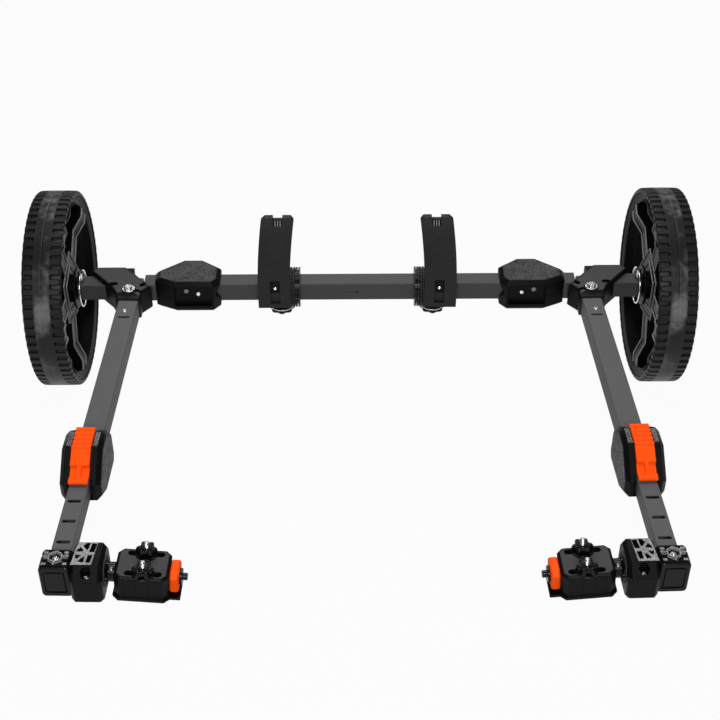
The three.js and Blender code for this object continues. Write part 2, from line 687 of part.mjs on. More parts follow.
// Rim: a barrel on a web that is flat round the hub and dished towards the cart outside it
function wheelRim() {
  const outer = WHEEL_RADIUS - TYRE_DEPTH - TOUCH_GAP;
  const barrel = outer - RIM_WALL;
  const half = RIM_WIDTH / 2;
  const inside = turned('x', [
    [barrel, -half - CUT_OVERRUN], [barrel, -RIM_DISH_REACH], [RIM_DISH_RADIUS, -RIM_WEB_INNER],
  ], WHEEL_SIDES);
  const outside = turned('x', [
    [RIM_DISH_RADIUS, RIM_WEB_THICKNESS - RIM_WEB_INNER], [barrel, RIM_WEB_THICKNESS - RIM_DISH_REACH],
    [barrel, half + CUT_OVERRUN],
  ], WHEEL_SIDES);
  let body = rod('x', outer, -half, half, WHEEL_SIDES).subtract(inside).subtract(outside);
  const window = prism('x', rimWindow(barrel - RIM_WINDOW_MARGIN), -half, half);
  for (let i = 0; i < RIM_SPOKES; i += 1) {
    body = body.subtract(window.rotate([(360 / RIM_SPOKES) * i, 0, 0]));
  }
  const flange = HUB_FLANGE_THICKNESS - HUB_INNER_REACH;
  body = body.add(turned('x', [
    [HUB_FLANGE_RADIUS, -HUB_INNER_REACH], [HUB_FLANGE_RADIUS, flange],
    [HUB_RADIUS, flange], [HUB_RADIUS, HUB_OUTER_REACH],
  ], ROUND_SIDES));
  const ends = [-HUB_INNER_REACH - CUT_OVERRUN, HUB_OUTER_REACH + CUT_OVERRUN];
  return body.subtract(rod('x', SPINDLE_RADIUS + TOUCH_GAP, ends[0], ends[1]));
}

// Arm tubes, along -Y in the arm's own directions
function armOuterTube() {
  const end = ARM_LATCH_Y - ARM_CLAMPED_LENGTH;
  const tube = squareTube('y', TUBE_SIZE, TUBE_WALL, end, ARM_TUBE_START_Y);
  const hole = rod('z', BOLT_RADIUS + TOUCH_GAP, -TUBE_SIZE, TUBE_SIZE, SMALL_SIDES);
  const slot = slotCut(TUBE_SIZE / 2).rotate([0, 0, 90]).translate([0, ARM_MARK_SLOT_Y, TUBE_SIZE / 2]);
  const along = BOLT_Y / Math.cos(ARM_SPLAY) - BOLT_OUTWARD * Math.tan(ARM_SPLAY);
  return tube.subtract(hole.translate([BOLT_OUTWARD, along, 0])).subtract(slot);
}

function armInnerTube() {
  let tube = squareTube('y', INNER_TUBE_SIZE, INNER_TUBE_WALL, ARM_INNER_END_Y, ARM_INNER_START_Y);
  const slot = slotCut(INNER_TUBE_SIZE / 2).rotate([0, 0, 90]);
  for (let i = -ARM_HIDDEN_SLOTS; i < ARM_SLOTS; i += 1) {
    const y = ARM_LATCH_Y - TOOTH_U - i * SLOT_PITCH;
    tube = tube.subtract(slot.translate([0, y, INNER_TUBE_SIZE / 2]));
  }
  return tube;
}

// Knuckle: a collar over the tube's end joined to a socket block on its inner side
function knuckle() {
  const half = COLLAR_WIDTH / 2;
  const tall = COLLAR_HEIGHT / 2;
  const section = cutRectangle(COLLAR_HEIGHT, COLLAR_WIDTH, CAP_CORNER);
  let body = prism('y', section, COLLAR_FRONT_Y, COLLAR_BACK_Y);
  const depth = KNUCKLE_BACK_Y - KNUCKLE_FRONT_Y;
  const side = KNUCKLE_OUTLINE_SHARES.map(([a, b]) => [
    KNUCKLE_BACK_Y - a * depth, b * (b > 0 ? KNUCKLE_TOP : KNUCKLE_BOTTOM),
  ]).reverse();
  const inner = -half - KNUCKLE_WIDTH;
  body = body.add(prism('x', side, inner, TOUCH_GAP - half, KNUCKLE_FLANK / 2));
  const bore = INNER_TUBE_SIZE / 2 + TOUCH_GAP;
  body = body.subtract(block([-bore, bore], [ARM_INNER_END_Y - TOUCH_GAP, COLLAR_BACK_Y + CUT_OVERRUN],
    [-bore, bore]));
  const pocket = rod('z', NUT_RADIUS, tall - NUT_POCKET_DEPTH, tall + CUT_OVERRUN, NUT_SIDES);
  body = body.subtract(pocket.translate([COLLAR_NUT_X, COLLAR_NUT_Y, 0]));
  const recess = rod('z', KNUCKLE_RECESS_RADIUS, KNUCKLE_RECESS_FLOOR, KNUCKLE_TOP + CUT_OVERRUN, NUT_SIDES);
  body = body.subtract(recess.translate([-half - KNUCKLE_WIDTH / 2, KNUCKLE_RECESS_Y, 0]));
  const socketX = inner + BALL_SINK;
  const socket = turned('x', [
    [SOCKET_MOUTH_RADIUS, -BALL_SINK - CUT_OVERRUN],
    [NECK_STEM_RADIUS + CUT_OVERRUN, 0],
  ], ROUND_SIDES);
  return body.subtract(ball(BALL_RADIUS + RUNNING_GAP).add(socket).translate([socketX, PIVOT_Y, 0]));
}

function ball(radius) {
  const geometry = new THREE.SphereGeometry(radius, BALL_SIDES, BALL_SIDES / 2);
  geometry.rotateZ(Math.PI / 2);
  return toSolid(geometry);
}

function endCap() {
  const half = COLLAR_WIDTH / 2;
  const near = 2 * TOUCH_GAP - half;
  const section = cutRectangle(COLLAR_HEIGHT, half - near, CAP_CORNER);
  const front = COLLAR_FRONT_Y - TOUCH_GAP - CAP_THICKNESS;
  const plate = prism('y', section, front, COLLAR_FRONT_Y - TOUCH_GAP, CAP_PANEL_DEPTH)
    .translate([(half + near) / 2, 0, 0]);
  const wide = CAP_PANEL_WIDTH / 2;
  const high = CAP_PANEL_HEIGHT / 2;
  return plate.subtract(block([-wide, wide], [front - CUT_OVERRUN, front + CAP_PANEL_DEPTH], [-high, high]));
}

// Neck between the knuckle and the base: ball, stem, round collar and shaft
function swivelNeck() {
  const socketX = -COLLAR_WIDTH / 2 - KNUCKLE_WIDTH + BALL_SINK;
  const shaftEnd = -BASE_START - BASE_LENGTH + BASE_LIP;
  const collarEnd = RUNNING_GAP - BASE_START;
  const body = turned('x', [
    [NECK_SHAFT_RADIUS, shaftEnd], [NECK_SHAFT_RADIUS, collarEnd],
    [NECK_COLLAR_RADIUS, collarEnd], [NECK_COLLAR_RADIUS, -NECK_COLLAR_START],
    [NECK_STEM_RADIUS, -NECK_COLLAR_START], [NECK_STEM_RADIUS, socketX],
  ], ROUND_SIDES);
  return ball(BALL_RADIUS).translate([socketX, 0, 0]).add(body);
}

// Outline of a rectangle with cut corners
function cutRectangle(width, depth, corner) {
  const w = width / 2;
  const d = depth / 2;
  return [
    [-w + corner, -d], [w - corner, -d], [w, -d + corner], [w, d - corner],
    [w - corner, d], [-w + corner, d], [-w, d - corner], [-w, -d + corner],
  ];
}

function trackBase() {
  const centre = -BASE_START - BASE_LENGTH / 2;
  const lip = 2 * BASE_LIP;
  const plan = cutRectangle(BASE_LENGTH, BASE_DEPTH, BASE_CORNER);
  let body = prism('z', plan, -BASE_BOTTOM, BASE_TOP, BASE_CHAMFER);
  const foot = cutRectangle(BASE_LENGTH + lip, BASE_DEPTH + lip, BASE_CORNER);
  body = body.add(prism('z', foot, -BASE_BOTTOM, BASE_LIP_HEIGHT - BASE_BOTTOM));
  const tabWidth = BASE_DEPTH / 2 - BASE_TAB_INSET;
  const end = BASE_LENGTH / 2;
  body = body.add(block([-end - BASE_TAB_LENGTH, -end + BASE_LIP], [-tabWidth, tabWidth],
    [-BASE_BOTTOM, BASE_LIP_HEIGHT - BASE_BOTTOM]));
  body = body.subtract(rod('x', NECK_SHAFT_RADIUS + RUNNING_GAP, -BASE_LENGTH, BASE_LENGTH, ROUND_SIDES));
  const slotLength = BASE_LENGTH - 2 * TRACK_SLOT_MARGIN;
  const slot = prism('z', slotOutline(slotLength, TRACK_SLOT_WIDTH),
    -BASE_BOTTOM - CUT_OVERRUN, BASE_TOP + CUT_OVERRUN);
  const grooveWidth = TRACK_HEAD_WIDTH / 2 + RUNNING_GAP;
  const grooveReach = (slotLength - TRACK_SLOT_WIDTH + TRACK_HEAD_LENGTH) / 2 + RUNNING_GAP;
  const grooveTop = TRACK_HEAD_SINK + TOUCH_GAP - BASE_BOTTOM;
  const groove = block([-grooveReach, grooveReach], [-grooveWidth, grooveWidth],
    [-BASE_BOTTOM - CUT_OVERRUN, grooveTop]);
  for (const row of [-1, 1]) {
    const place = [-TRACK_BOLT_X - centre, (row * TRACK_SLOT_SPACING) / 2, 0];
    body = body.subtract(slot.add(groove).translate(place));
  }
  return body.translate([centre, 0, 0]);
}

// Stud with a flat head for the track below the base
function trackBolt() {
  const head = TRACK_HEAD_SINK - BASE_BOTTOM;
  const length = TRACK_HEAD_LENGTH / 2;
  const width = TRACK_HEAD_WIDTH / 2;
  const start = head - TRACK_HEAD_THICKNESS / 2;
  const stud = rod('z', TRACK_STUD_RADIUS, start, BASE_TOP + TRACK_STUD_TIP, SMALL_SIDES);
  return stud.add(block([-length, length], [-width, width], [head - TRACK_HEAD_THICKNESS, head]));
}

function trackKnob() {
  const knob = lobedKnob(TRACK_KNOB_RADIUS * (1 + TRACK_KNOB_LOBE_SHARE), TRACK_KNOB_HEIGHT,
    TRACK_KNOB_LOBES, TRACK_KNOB_LOBE_SHARE, TRACK_KNOB_SIDES, TRACK_KNOB_SHARES);
  const hole = rod('z', TRACK_STUD_RADIUS + RUNNING_GAP, -CUT_OVERRUN,
    TRACK_KNOB_HEIGHT + CUT_OVERRUN, SMALL_SIDES);
  return knob.subtract(hole).translate([0, 0, BASE_TOP + TOUCH_GAP]);
}

// Release catch: an orange plate on a pin that is pulled inwards
function releaseCatch() {
  const near = -BASE_START - BASE_LENGTH - RUNNING_GAP;
  const outline = cutRectangle(CATCH_DEPTH, CATCH_HEIGHT, CATCH_CORNER);
  const plate = prism('x', outline, near - CATCH_THICKNESS, near, CATCH_CHAMFER);
  const start = near - CATCH_THICKNESS - CUT_OVERRUN;
  return plate.subtract(rod('x', CATCH_PIN_RADIUS + TOUCH_GAP, start, near + CUT_OVERRUN, SMALL_SIDES));
}

function releasePin() {
  const near = -BASE_START - BASE_LENGTH - RUNNING_GAP;
  const face = near - CATCH_THICKNESS - TOUCH_GAP;
  return turned('x', [
    [CATCH_PIN_RADIUS, face - CATCH_PIN_REACH], [CATCH_PIN_RADIUS, face - CATCH_WASHER_THICKNESS],
    [CATCH_WASHER_RADIUS, face - CATCH_WASHER_THICKNESS], [CATCH_WASHER_RADIUS, face],
    [CATCH_PIN_RADIUS, face], [CATCH_PIN_RADIUS, near],
  ], SMALL_SIDES);
}

// Hull support: a sleeve on the crossbar with a toothed disc, and a pad that turns on it
function toothedDisc(from, to) {
  const sides = SUPPORT_TOOTH_COUNT * 2;
  const ring = lobedRing(SUPPORT_DISC_RADIUS, SUPPORT_TOOTH_COUNT, SUPPORT_TOOTH_DEPTH_SHARE / 2, sides);
  return prism('x', ring, from, to);
}

function supportCollar() {
  const outerEnd = PAD_WIDTH / 2;
  const discEnd = -PAD_WIDTH / 2 - SUPPORT_DISC_THICKNESS - SUPPORT_DISC_GAP;
  const discStart = discEnd - SUPPORT_DISC_THICKNESS;
  const bore = TUBE_SIZE / 2 + RUNNING_GAP;
  const sleeve = rod('x', SLEEVE_RADIUS, discStart, outerEnd);
  const body = sleeve.add(toothedDisc(discStart, discEnd));
  return body.subtract(block([-PAD_WIDTH, PAD_WIDTH], [-bore, bore], [-bore, bore]));
}

// Side outline of the pad, (y, z), straight over the hub and bending back at its tip
function padOutline() {
  const points = [[PAD_FACE_Y, PAD_BOTTOM], [PAD_FACE_Y, PAD_STRAIGHT_TOP]];
  const back = [];
  for (let i = 1; i <= PAD_BEND_STEPS; i += 1) {
    const share = i / PAD_BEND_STEPS;
    const y = PAD_FACE_Y + PAD_BEND * share * share;
    const z = PAD_STRAIGHT_TOP + (PAD_TOP - PAD_STRAIGHT_TOP) * share;
    points.push([y, z]);
    back.push([y + PAD_THICKNESS + (PAD_TIP_THICKNESS - PAD_THICKNESS) * share, z]);
  }
  back.reverse();
  return [...points, ...back, [PAD_FACE_Y + PAD_THICKNESS, PAD_BOTTOM]].reverse();
}

// Front outline of the pad, (z, x): it sways inwards as it rises, with cut top corners and a notch
function padFront() {
  const half = PAD_WIDTH / 2;
  const notch = PAD_NOTCH_WIDTH / 2;
  const sway = (z) => -PAD_SWAY * (Math.max(z, 0) / PAD_TOP) ** 2;
  const outer = [];
  const inner = [];
  const shoulder = PAD_TOP - PAD_CORNER;
  for (let i = 0; i <= PAD_BEND_STEPS; i += 1) {
    const z = (shoulder * i) / PAD_BEND_STEPS;
    outer.push([z, sway(z) + half]);
    inner.push([z, sway(z) - half]);
  }
  const top = sway(PAD_TOP);
  inner.reverse();
  return [
    [PAD_BOTTOM, half],
    ...outer,
    [PAD_TOP, top + half - PAD_CORNER],
    [PAD_TOP, top + notch],
    [PAD_TOP - PAD_NOTCH_DEPTH, top + notch],
    [PAD_TOP - PAD_NOTCH_DEPTH, top - notch],
    [PAD_TOP, top - notch],
    [PAD_TOP, top - half + PAD_CORNER],
    ...inner,
    [PAD_BOTTOM, -half],
  ].reverse();
}

function hullPad() {
  const half = PAD_WIDTH / 2;
  const bend = prism('x', padOutline(), -PAD_WIDTH, PAD_WIDTH);
  let plate = bend.intersect(prism('y', padFront(), 2 * PAD_FACE_Y, -PAD_FACE_Y));
  const recess = [-PAD_RECESS_WIDTH / 2 - PAD_RECESS_INWARD, PAD_RECESS_WIDTH / 2 - PAD_RECESS_INWARD];
  plate = plate.subtract(block(recess, [PAD_FACE_Y - CUT_OVERRUN, PAD_FACE_Y + PAD_RECESS_DEPTH],
    [PAD_RECESS_BOTTOM, PAD_RECESS_TOP]));
  const discEnd = -half;
  const hub = rod('x', SUPPORT_HUB_RADIUS, -half, half);
  const disc = toothedDisc(discEnd - SUPPORT_DISC_THICKNESS, discEnd + RUNNING_GAP);
  const bore = rod('x', SLEEVE_RADIUS + RUNNING_GAP, -PAD_WIDTH, PAD_WIDTH);
  const boss = rod('z', SUPPORT_BOSS_RADIUS, -SUPPORT_DISC_RADIUS, -SLEEVE_RADIUS);
  const body = plate.add(hub).add(disc).add(boss.translate([-SUPPORT_KNOB_OFFSET, 0, 0]));
  return body.subtract(bore);
}

function supportKnob() {
  const knob = lobedKnob(SUPPORT_KNOB_RADIUS, SUPPORT_KNOB_HEIGHT, SUPPORT_KNOB_LOBES,
    SUPPORT_KNOB_LOBE_SHARE, SUPPORT_KNOB_SIDES, SUPPORT_KNOB_SHARES);
  return knob.rotate([180, 0, 0]).translate([0, 0, -SUPPORT_DISC_RADIUS - TOUCH_GAP]);
}

// Rotation that takes the latch's u, v and across directions to the given ones
function latchGroup(u, v, origin) {
  const across = new THREE.Vector3().crossVectors(u, v);
  const group = new THREE.Group();
  group.setRotationFromMatrix(new THREE.Matrix4().makeBasis(u, v, across));
  group.position.copy(origin);
  return group;
}

function sideName(side) {
  return side < 0 ? 'left' : 'right';
}

// The tilt of the frame that brings the lowest point of its arms to the ground with the wheels
function frameTilt(deck) {
  deck.updateMatrixWorld(true);
  const point = new THREE.Vector3();
  let tilt = Math.PI / 2;
  deck.traverse((part) => {
    if (!part.isMesh) return;
    const places = part.geometry.getAttribute('position');
    for (let i = 0; i < places.count; i += 1) {
      point.fromBufferAttribute(places, i).applyMatrix4(part.matrixWorld);
      const span = Math.hypot(point.y, point.z);
      if (point.y > -WHEEL_RADIUS || span < WHEEL_RADIUS) continue;
      tilt = Math.min(tilt, Math.asin(WHEEL_RADIUS / span) - Math.atan2(-point.z, -point.y));
    }
  });
  return tilt;
}

function addLatch(group, side, prefix, lever, names) {
  const housing = latchHousing();
  add(group, `${prefix}_latch_${sideName(side)}_${names[0]}`, latchShell(housing, 1), 'black');
  add(group, `${prefix}_latch_${sideName(side)}_${names[1]}`, latchShell(housing, -1), 'black');
  add(group, `${prefix}_latch_lever_${sideName(side)}`, lever, 'orange');
}

function addCrossbar(deck) {
  add(deck, 'crossbar_tube', crossbarTube(), 'tube');
  for (const side of [-1, 1]) {
    const across = new THREE.Vector3(side, 0, 0);
    const away = new THREE.Vector3(0, 1, 0);
    const group = latchGroup(across, away, new THREE.Vector3(side * BAR_LATCH_X, 0, 0));
    const tip = TUBE_SIZE / 2 + RUNNING_GAP;
    addLatch(group, side, 'bar', latchLever(tip), side > 0 ? ['upper', 'lower'] : ['lower', 'upper']);
    deck.add(group);
    addSupport(deck, side);
  }
}

function addSupport(deck, side) {
  const name = sideName(side);
  const centre = side > 0 ? SUPPORT_CENTRE_RIGHT : SUPPORT_CENTRE_LEFT;
  const support = new THREE.Group();
  support.position.x = side * centre;
  deck.add(support);
  add(support, `support_collar_${name}`, supportCollar(), 'black', side);
  add(support, `hull_pad_${name}`, hullPad(), 'black', side);
  const knob = add(support, `support_knob_${name}`, supportKnob(), 'black', side);
  knob.position.x = -side * SUPPORT_KNOB_OFFSET;
}

function addCorner(deck, side) {
  const name = sideName(side);
  add(deck, `bar_end_tube_${name}`, barEndTube(), 'tube', side);
  add(deck, `corner_bracket_${name}`, cornerBracket(), 'grey', side);
  const place = boltPlace();
  const bolt = add(deck, `bracket_bolt_${name}`, bracketBolt(), 'zinc', side);
  bolt.position.set(side * place.x, place.y, 0);
  add(deck, `axle_${name}`, axle(), 'grey', side);
  const pin = add(deck, `lock_pin_${name}`, lockPin(), 'zinc', side);
  pin.position.x = side * LOCK_PIN_X;
  const bail = add(deck, `pin_bail_${name}`, pinBail(), 'zinc', side);
  bail.position.x = side * LOCK_PIN_X;
}

function addWheel(deck, side) {
  const wheel = new THREE.Group();
  wheel.position.x = side * WHEEL_CENTRE_X;
  add(wheel, `wheel_rim_${sideName(side)}`, wheelRim(), 'black', side);
  add(wheel, `tyre_${sideName(side)}`, tyre(), 'rubber', side);
  deck.add(wheel);
}

function addTrackBase(arm, side) {
  const name = sideName(side);
  const roll = new THREE.Group();
  roll.position.set(-side * (COLLAR_WIDTH / 2 + KNUCKLE_WIDTH - BALL_SINK), PIVOT_Y, 0);
  roll.rotation.y = -side * BASE_ROLL;
  arm.add(roll);
  const inner = new THREE.Group();
  inner.position.x = -roll.position.x;
  roll.add(inner);
  add(inner, `swivel_neck_${name}`, swivelNeck(), 'black', side);
  add(inner, `track_base_${name}`, trackBase(), 'grey', side);
  add(inner, `release_catch_${name}`, releaseCatch(), 'orange', side);
  add(inner, `release_pin_${name}`, releasePin(), 'black', side);
  for (const [row, place] of [[-1, 'front'], [1, 'back']]) {
    const x = -side * TRACK_BOLT_X;
    const y = (row * TRACK_SLOT_SPACING) / 2;
    const bolt = add(inner, `track_bolt_${name}_${place}`, trackBolt(), 'zinc', side);
    bolt.position.set(x, y, 0);
    const knob = add(inner, `track_knob_${name}_${place}`, trackKnob(), 'black', side);
    knob.position.set(x, y, 0);
  }
}

function addArm(deck, side) {
  const name = sideName(side);
  const arm = new THREE.Group();
  arm.position.x = side * ARM_ROOT_X;
  arm.rotation.z = side * ARM_SPLAY;
  deck.add(arm);
  add(arm, `arm_outer_tube_${name}`, armOuterTube(), 'tube', side);
  add(arm, `arm_inner_tube_${name}`, armInnerTube(), 'tube', side);
  add(arm, `knuckle_${name}`, knuckle(), 'black', side);
  add(arm, `end_cap_${name}`, endCap(), 'black', side);
  const forward = new THREE.Vector3(0, -1, 0);
  const up = new THREE.Vector3(0, 0, 1);
  const latch = latchGroup(forward, up, new THREE.Vector3(0, ARM_LATCH_Y, 0));
  const tip = INNER_TUBE_SIZE / 2 + RUNNING_GAP;
  addLatch(latch, side, 'arm', latchLever(tip), side > 0 ? ['inner', 'outer'] : ['outer', 'inner']);
  arm.add(latch);
  addTrackBase(arm, side);
}

function kayakCart() {
  const cart = new THREE.Group();
  const deck = new THREE.Group();
  cart.add(deck);
  addCrossbar(deck);
  for (const side of [-1, 1]) {
    addCorner(deck, side);
    addWheel(deck, side);
    addArm(deck, side);
  }
  deck.rotation.x = frameTilt(deck);
  deck.position.z = WHEEL_RADIUS;
  cart.updateMatrixWorld(true);
  const bounds = new THREE.Box3().setFromObject(cart, true);
  cart.position.y = -(bounds.min.y + bounds.max.y) / 2;
  cart.position.z = -bounds.min.z;
  return cart;
}

const group = kayakCart();
export default group;
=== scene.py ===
"""Looks of a kayak cart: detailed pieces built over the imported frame, their finishes, light and camera."""

import logging
import math
from dataclasses import dataclass
from enum import Enum
from typing import Iterable, Optional, Sequence, Union

import bmesh
import bpy
from mathutils import Matrix, Vector


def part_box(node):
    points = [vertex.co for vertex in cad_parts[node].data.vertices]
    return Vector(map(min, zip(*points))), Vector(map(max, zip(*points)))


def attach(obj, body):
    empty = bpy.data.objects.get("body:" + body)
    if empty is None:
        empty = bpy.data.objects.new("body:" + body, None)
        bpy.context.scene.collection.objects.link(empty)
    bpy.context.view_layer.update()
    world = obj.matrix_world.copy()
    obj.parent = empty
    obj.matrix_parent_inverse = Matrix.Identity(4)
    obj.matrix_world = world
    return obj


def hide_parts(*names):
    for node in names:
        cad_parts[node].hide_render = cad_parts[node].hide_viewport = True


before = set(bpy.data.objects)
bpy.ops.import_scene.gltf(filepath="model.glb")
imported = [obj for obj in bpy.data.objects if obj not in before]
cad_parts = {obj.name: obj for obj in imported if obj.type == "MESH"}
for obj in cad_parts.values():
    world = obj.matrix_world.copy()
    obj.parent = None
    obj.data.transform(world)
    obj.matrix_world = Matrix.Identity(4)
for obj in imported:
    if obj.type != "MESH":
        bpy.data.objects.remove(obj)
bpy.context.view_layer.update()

MM = 0.001
SMOOTH_ANGLE = math.radians(30)

# Facets of round forms
CORNER_STEPS = 4
SLOT_STEPS = 8
BALL_SIDES = 48
SMALL_SIDES = 32
HOLE_SIDES = 48
DISC_SIDES = 72
ROUND_SIDES = 96
RIM_SIDES = 120

# Lengths in millimetres: how far a cut runs past a face, the flat at a ball's poles, what counts as level
OVERRUN = 2.0
POLE_RADIUS = 0.02
LEVEL_WITHIN = 1e-6

# The least cosine of half a corner's turn that an inset outline still follows to its point
SHARPEST_CORNER = 0.3

# Last words in the names of pieces that stand for a node of the frame
STANDS_FOR_A_NODE = ("form", "shell")

log = logging.getLogger("kayak_cart")

Pair = tuple[float, float]
Triple = tuple[float, float, float]


class Axis(Enum):
    """The direction that an outline is pushed along or a profile is turned about."""

    X = Matrix(((0, 0, 1, 0), (1, 0, 0, 0), (0, 1, 0, 0), (0, 0, 0, 1)))
    Y = Matrix(((0, 1, 0, 0), (0, 0, 1, 0), (1, 0, 0, 0), (0, 0, 0, 1)))
    Z = Matrix.Identity(4)


class Side(Enum):
    """The two halves of the cart, with the sign of their x."""

    LEFT = -1
    RIGHT = 1

    @property
    def word(self) -> str:
        """The side's name as the frame's nodes use it."""
        return self.name.lower()


class Slot(Enum):
    """The record's material slots."""

    TUBE = "grey_tube"
    BLACK = "black_plastic"
    GREY = "grey_plastic"
    ORANGE = "orange_plastic"
    TYRE = "tyre_rubber"
    ZINC = "zinc_steel"


# Solids


class Solid:
    """A closed solid in millimetres that can be moved, joined and cut."""

    def __init__(self, mesh: bpy.types.Mesh) -> None:
        """Keeps the mesh that the solid is made of."""
        self.mesh = mesh

    @classmethod
    def of(cls, points: Iterable[Sequence[float]], faces: Iterable[Sequence[int]]) -> "Solid":
        """Makes a solid from points and faces.

        Args:
            points: Corners in millimetres.
            faces: Corner numbers of each face, in either sense.

        Returns:
            The solid, with every face pointing out.
        """
        mesh = bpy.data.meshes.new("solid")
        mesh.from_pydata([tuple(p) for p in points], [], [tuple(f) for f in faces])
        shape = bmesh.new()
        shape.from_mesh(mesh)
        bmesh.ops.recalc_face_normals(shape, faces=shape.faces)
        shape.to_mesh(mesh)
        shape.free()
        return cls(mesh)

    def moved(self, x: float = 0.0, y: float = 0.0, z: float = 0.0, turn: Optional[Matrix] = None) -> "Solid":
        """Copies the solid to another place.

        Args:
            x: Shift along x.
            y: Shift along y.
            z: Shift along z.
            turn: Rotation made before the shift.

        Returns:
            The moved copy.
        """
        mesh = self.mesh.copy()
        mesh.transform(Matrix.Translation((x, y, z)) @ (turn or Matrix.Identity(4)))
        return Solid(mesh)

    def _combined(self, other: "Solid", operation: str) -> "Solid":
        """Joins, cuts or intersects with another solid.

        Args:
            other: The second solid.
            operation: A Boolean modifier's operation.

        Returns:
            The new solid.
        """
        base = bpy.data.objects.new("base", self.mesh)
        tool = bpy.data.objects.new("tool", other.mesh)
        for item in (base, tool):
            bpy.context.scene.collection.objects.link(item)
        step = base.modifiers.new("step", "BOOLEAN")
        step.operation = operation
        step.solver = "EXACT"
        step.object = tool
        graph = bpy.context.evaluated_depsgraph_get()
        mesh = bpy.data.meshes.new_from_object(base.evaluated_get(graph))
        for item in (base, tool):
            bpy.data.objects.remove(item)
        return Solid(mesh)

    def cut(self, *others: "Solid") -> "Solid":
        """The solid less the others."""
        result = self
        for other in others:
            result = result._combined(other, "DIFFERENCE")
        return result

    def join(self, *others: "Solid") -> "Solid":
        """The solid with the others."""
        result = self
        for other in others:
            result = result._combined(other, "UNION")
        return result

    def within(self, other: "Solid") -> "Solid":
        """What the two solids share."""
        return self._combined(other, "INTERSECT")

    def beside(self, *others: "Solid") -> "Solid":
        """The solid and others that it doesn't touch, kept in one mesh."""
        shape = bmesh.new()
        for item in (self, *others):
            shape.from_mesh(item.mesh)
        mesh = bpy.data.meshes.new("solid")
        shape.to_mesh(mesh)
        shape.free()
        return Solid(mesh)


def skinned(points: Sequence[Sequence[float]], count: int, endless: bool = False) -> Solid:
    """Skins rows of points.

    Args:
        points: The points of every row, one row after the other.
        count: How many points each row has. The last one joins the first.
        endless: Whether the last row joins the first too. Otherwise both are closed by a face.

    Returns:
        The solid.
    """
    rows = len(points) // count
    faces: list[Sequence[int]] = [] if endless else [range(count), range((rows - 1) * count, rows * count)]
    for k in range(rows if endless else rows - 1):
        n = (k + 1) % rows
        for i in range(count):
            j = (i + 1) % count
            faces.append((k * count + i, k * count + j, n * count + j, n * count + i))
    return Solid.of(points, faces)


def prism(axis: Axis, outline: Sequence[Pair], start: float, end: float, chamfer: float = 0.0) -> Solid:
    """Pushes an outline along an axis.

    Args:
        axis: The direction. The outline's pairs are (y, z) along X, (z, x) along Y and (x, y) along Z.
        outline: The outline's corners.
        start: Where the solid starts on the axis.
        end: Where it ends.
        chamfer: Width of the chamfer round both ends.

    Returns:
        The solid.
    """
    solid = skinned([(a, b, place) for place in (start, end) for a, b in outline], len(outline))
    if chamfer:
        shape = bmesh.new()
        shape.from_mesh(solid.mesh)
        rims = [e for e in shape.edges if abs(e.verts[0].co.z - e.verts[1].co.z) < LEVEL_WITHIN]
        bmesh.ops.bevel(shape, geom=rims, offset=chamfer, offset_type="OFFSET", segments=1,
                        profile=0.5, affect="EDGES", clamp_overlap=False)
        shape.to_mesh(solid.mesh)
        shape.free()
    solid.mesh.transform(axis.value)
    return solid


def block(xs: Pair, ys: Pair, zs: Pair) -> Solid:
    """A block between two values on each axis."""
    outline = [(xs[0], ys[0]), (xs[1], ys[0]), (xs[1], ys[1]), (xs[0], ys[1])]
    return prism(Axis.Z, outline, zs[0], zs[1])


def turned(axis: Axis, profile: Sequence[Pair], sides: int = 64) -> Solid:
    """Turns a profile about an axis and closes it on the axis.

    Args:
        axis: The axis.
        profile: Pairs of radius and place along the axis.
        sides: Facets round the axis.

    Returns:
        The solid.
    """
    solid = lofted(circle(1.0, sides), profile)
    solid.mesh.transform(axis.value)
    return solid


def rod(axis: Axis, radius: float, start: float, end: float, sides: int = 64) -> Solid:
    """A round rod along an axis."""
    return turned(axis, [(radius, start), (radius, end)], sides)


def ring(axis: Axis, outer: float, inner: float, start: float, end: float, sides: int = 64) -> Solid:
    """A flat ring round an axis."""
    return rod(axis, outer, start, end, sides).cut(rod(axis, inner, start - OVERRUN, end + OVERRUN, sides))


def ball(radius: float) -> Solid:
    """A ball at the origin."""
    steps = BALL_SIDES // 2
    angles = [math.pi * i / steps for i in range(steps + 1)]
    profile = [(max(radius * math.sin(angle), POLE_RADIUS), -radius * math.cos(angle)) for angle in angles]
    return turned(Axis.X, profile, BALL_SIDES)


def hexagon(radius: float) -> list[Pair]:
    """A regular six-sided outline."""
    return circle(radius, 6)


def rounded_rectangle(width: float, depth: float, radius: float) -> list[Pair]:
    """A rectangle with round corners."""
    points: list[Pair] = []
    for quarter, (sx, sy) in enumerate(((1, 1), (-1, 1), (-1, -1), (1, -1))):
        for i in range(CORNER_STEPS + 1):
            angle = math.pi / 2 * (quarter + i / CORNER_STEPS)
            cx, cy = sx * (width / 2 - radius), sy * (depth / 2 - radius)
            points.append((cx + radius * math.cos(angle), cy + radius * math.sin(angle)))
    return points


def slot_outline(length: float, width: float) -> list[Pair]:
    """A slot with round ends, long along the first direction."""
    radius = width / 2
    reach = length / 2 - radius
    points: list[Pair] = []
    for end in (0.0, math.pi):
        for i in range(SLOT_STEPS + 1):
            angle = end - math.pi / 2 + math.pi * i / SLOT_STEPS
            points.append((math.cos(end) * reach + radius * math.cos(angle), radius * math.sin(angle)))
    return points


def circle(radius: float, sides: int) -> list[Pair]:
    """A round outline."""
    angles = [2 * math.pi * i / sides for i in range(sides)]
    return [(radius * math.cos(angle), radius * math.sin(angle)) for angle in angles]


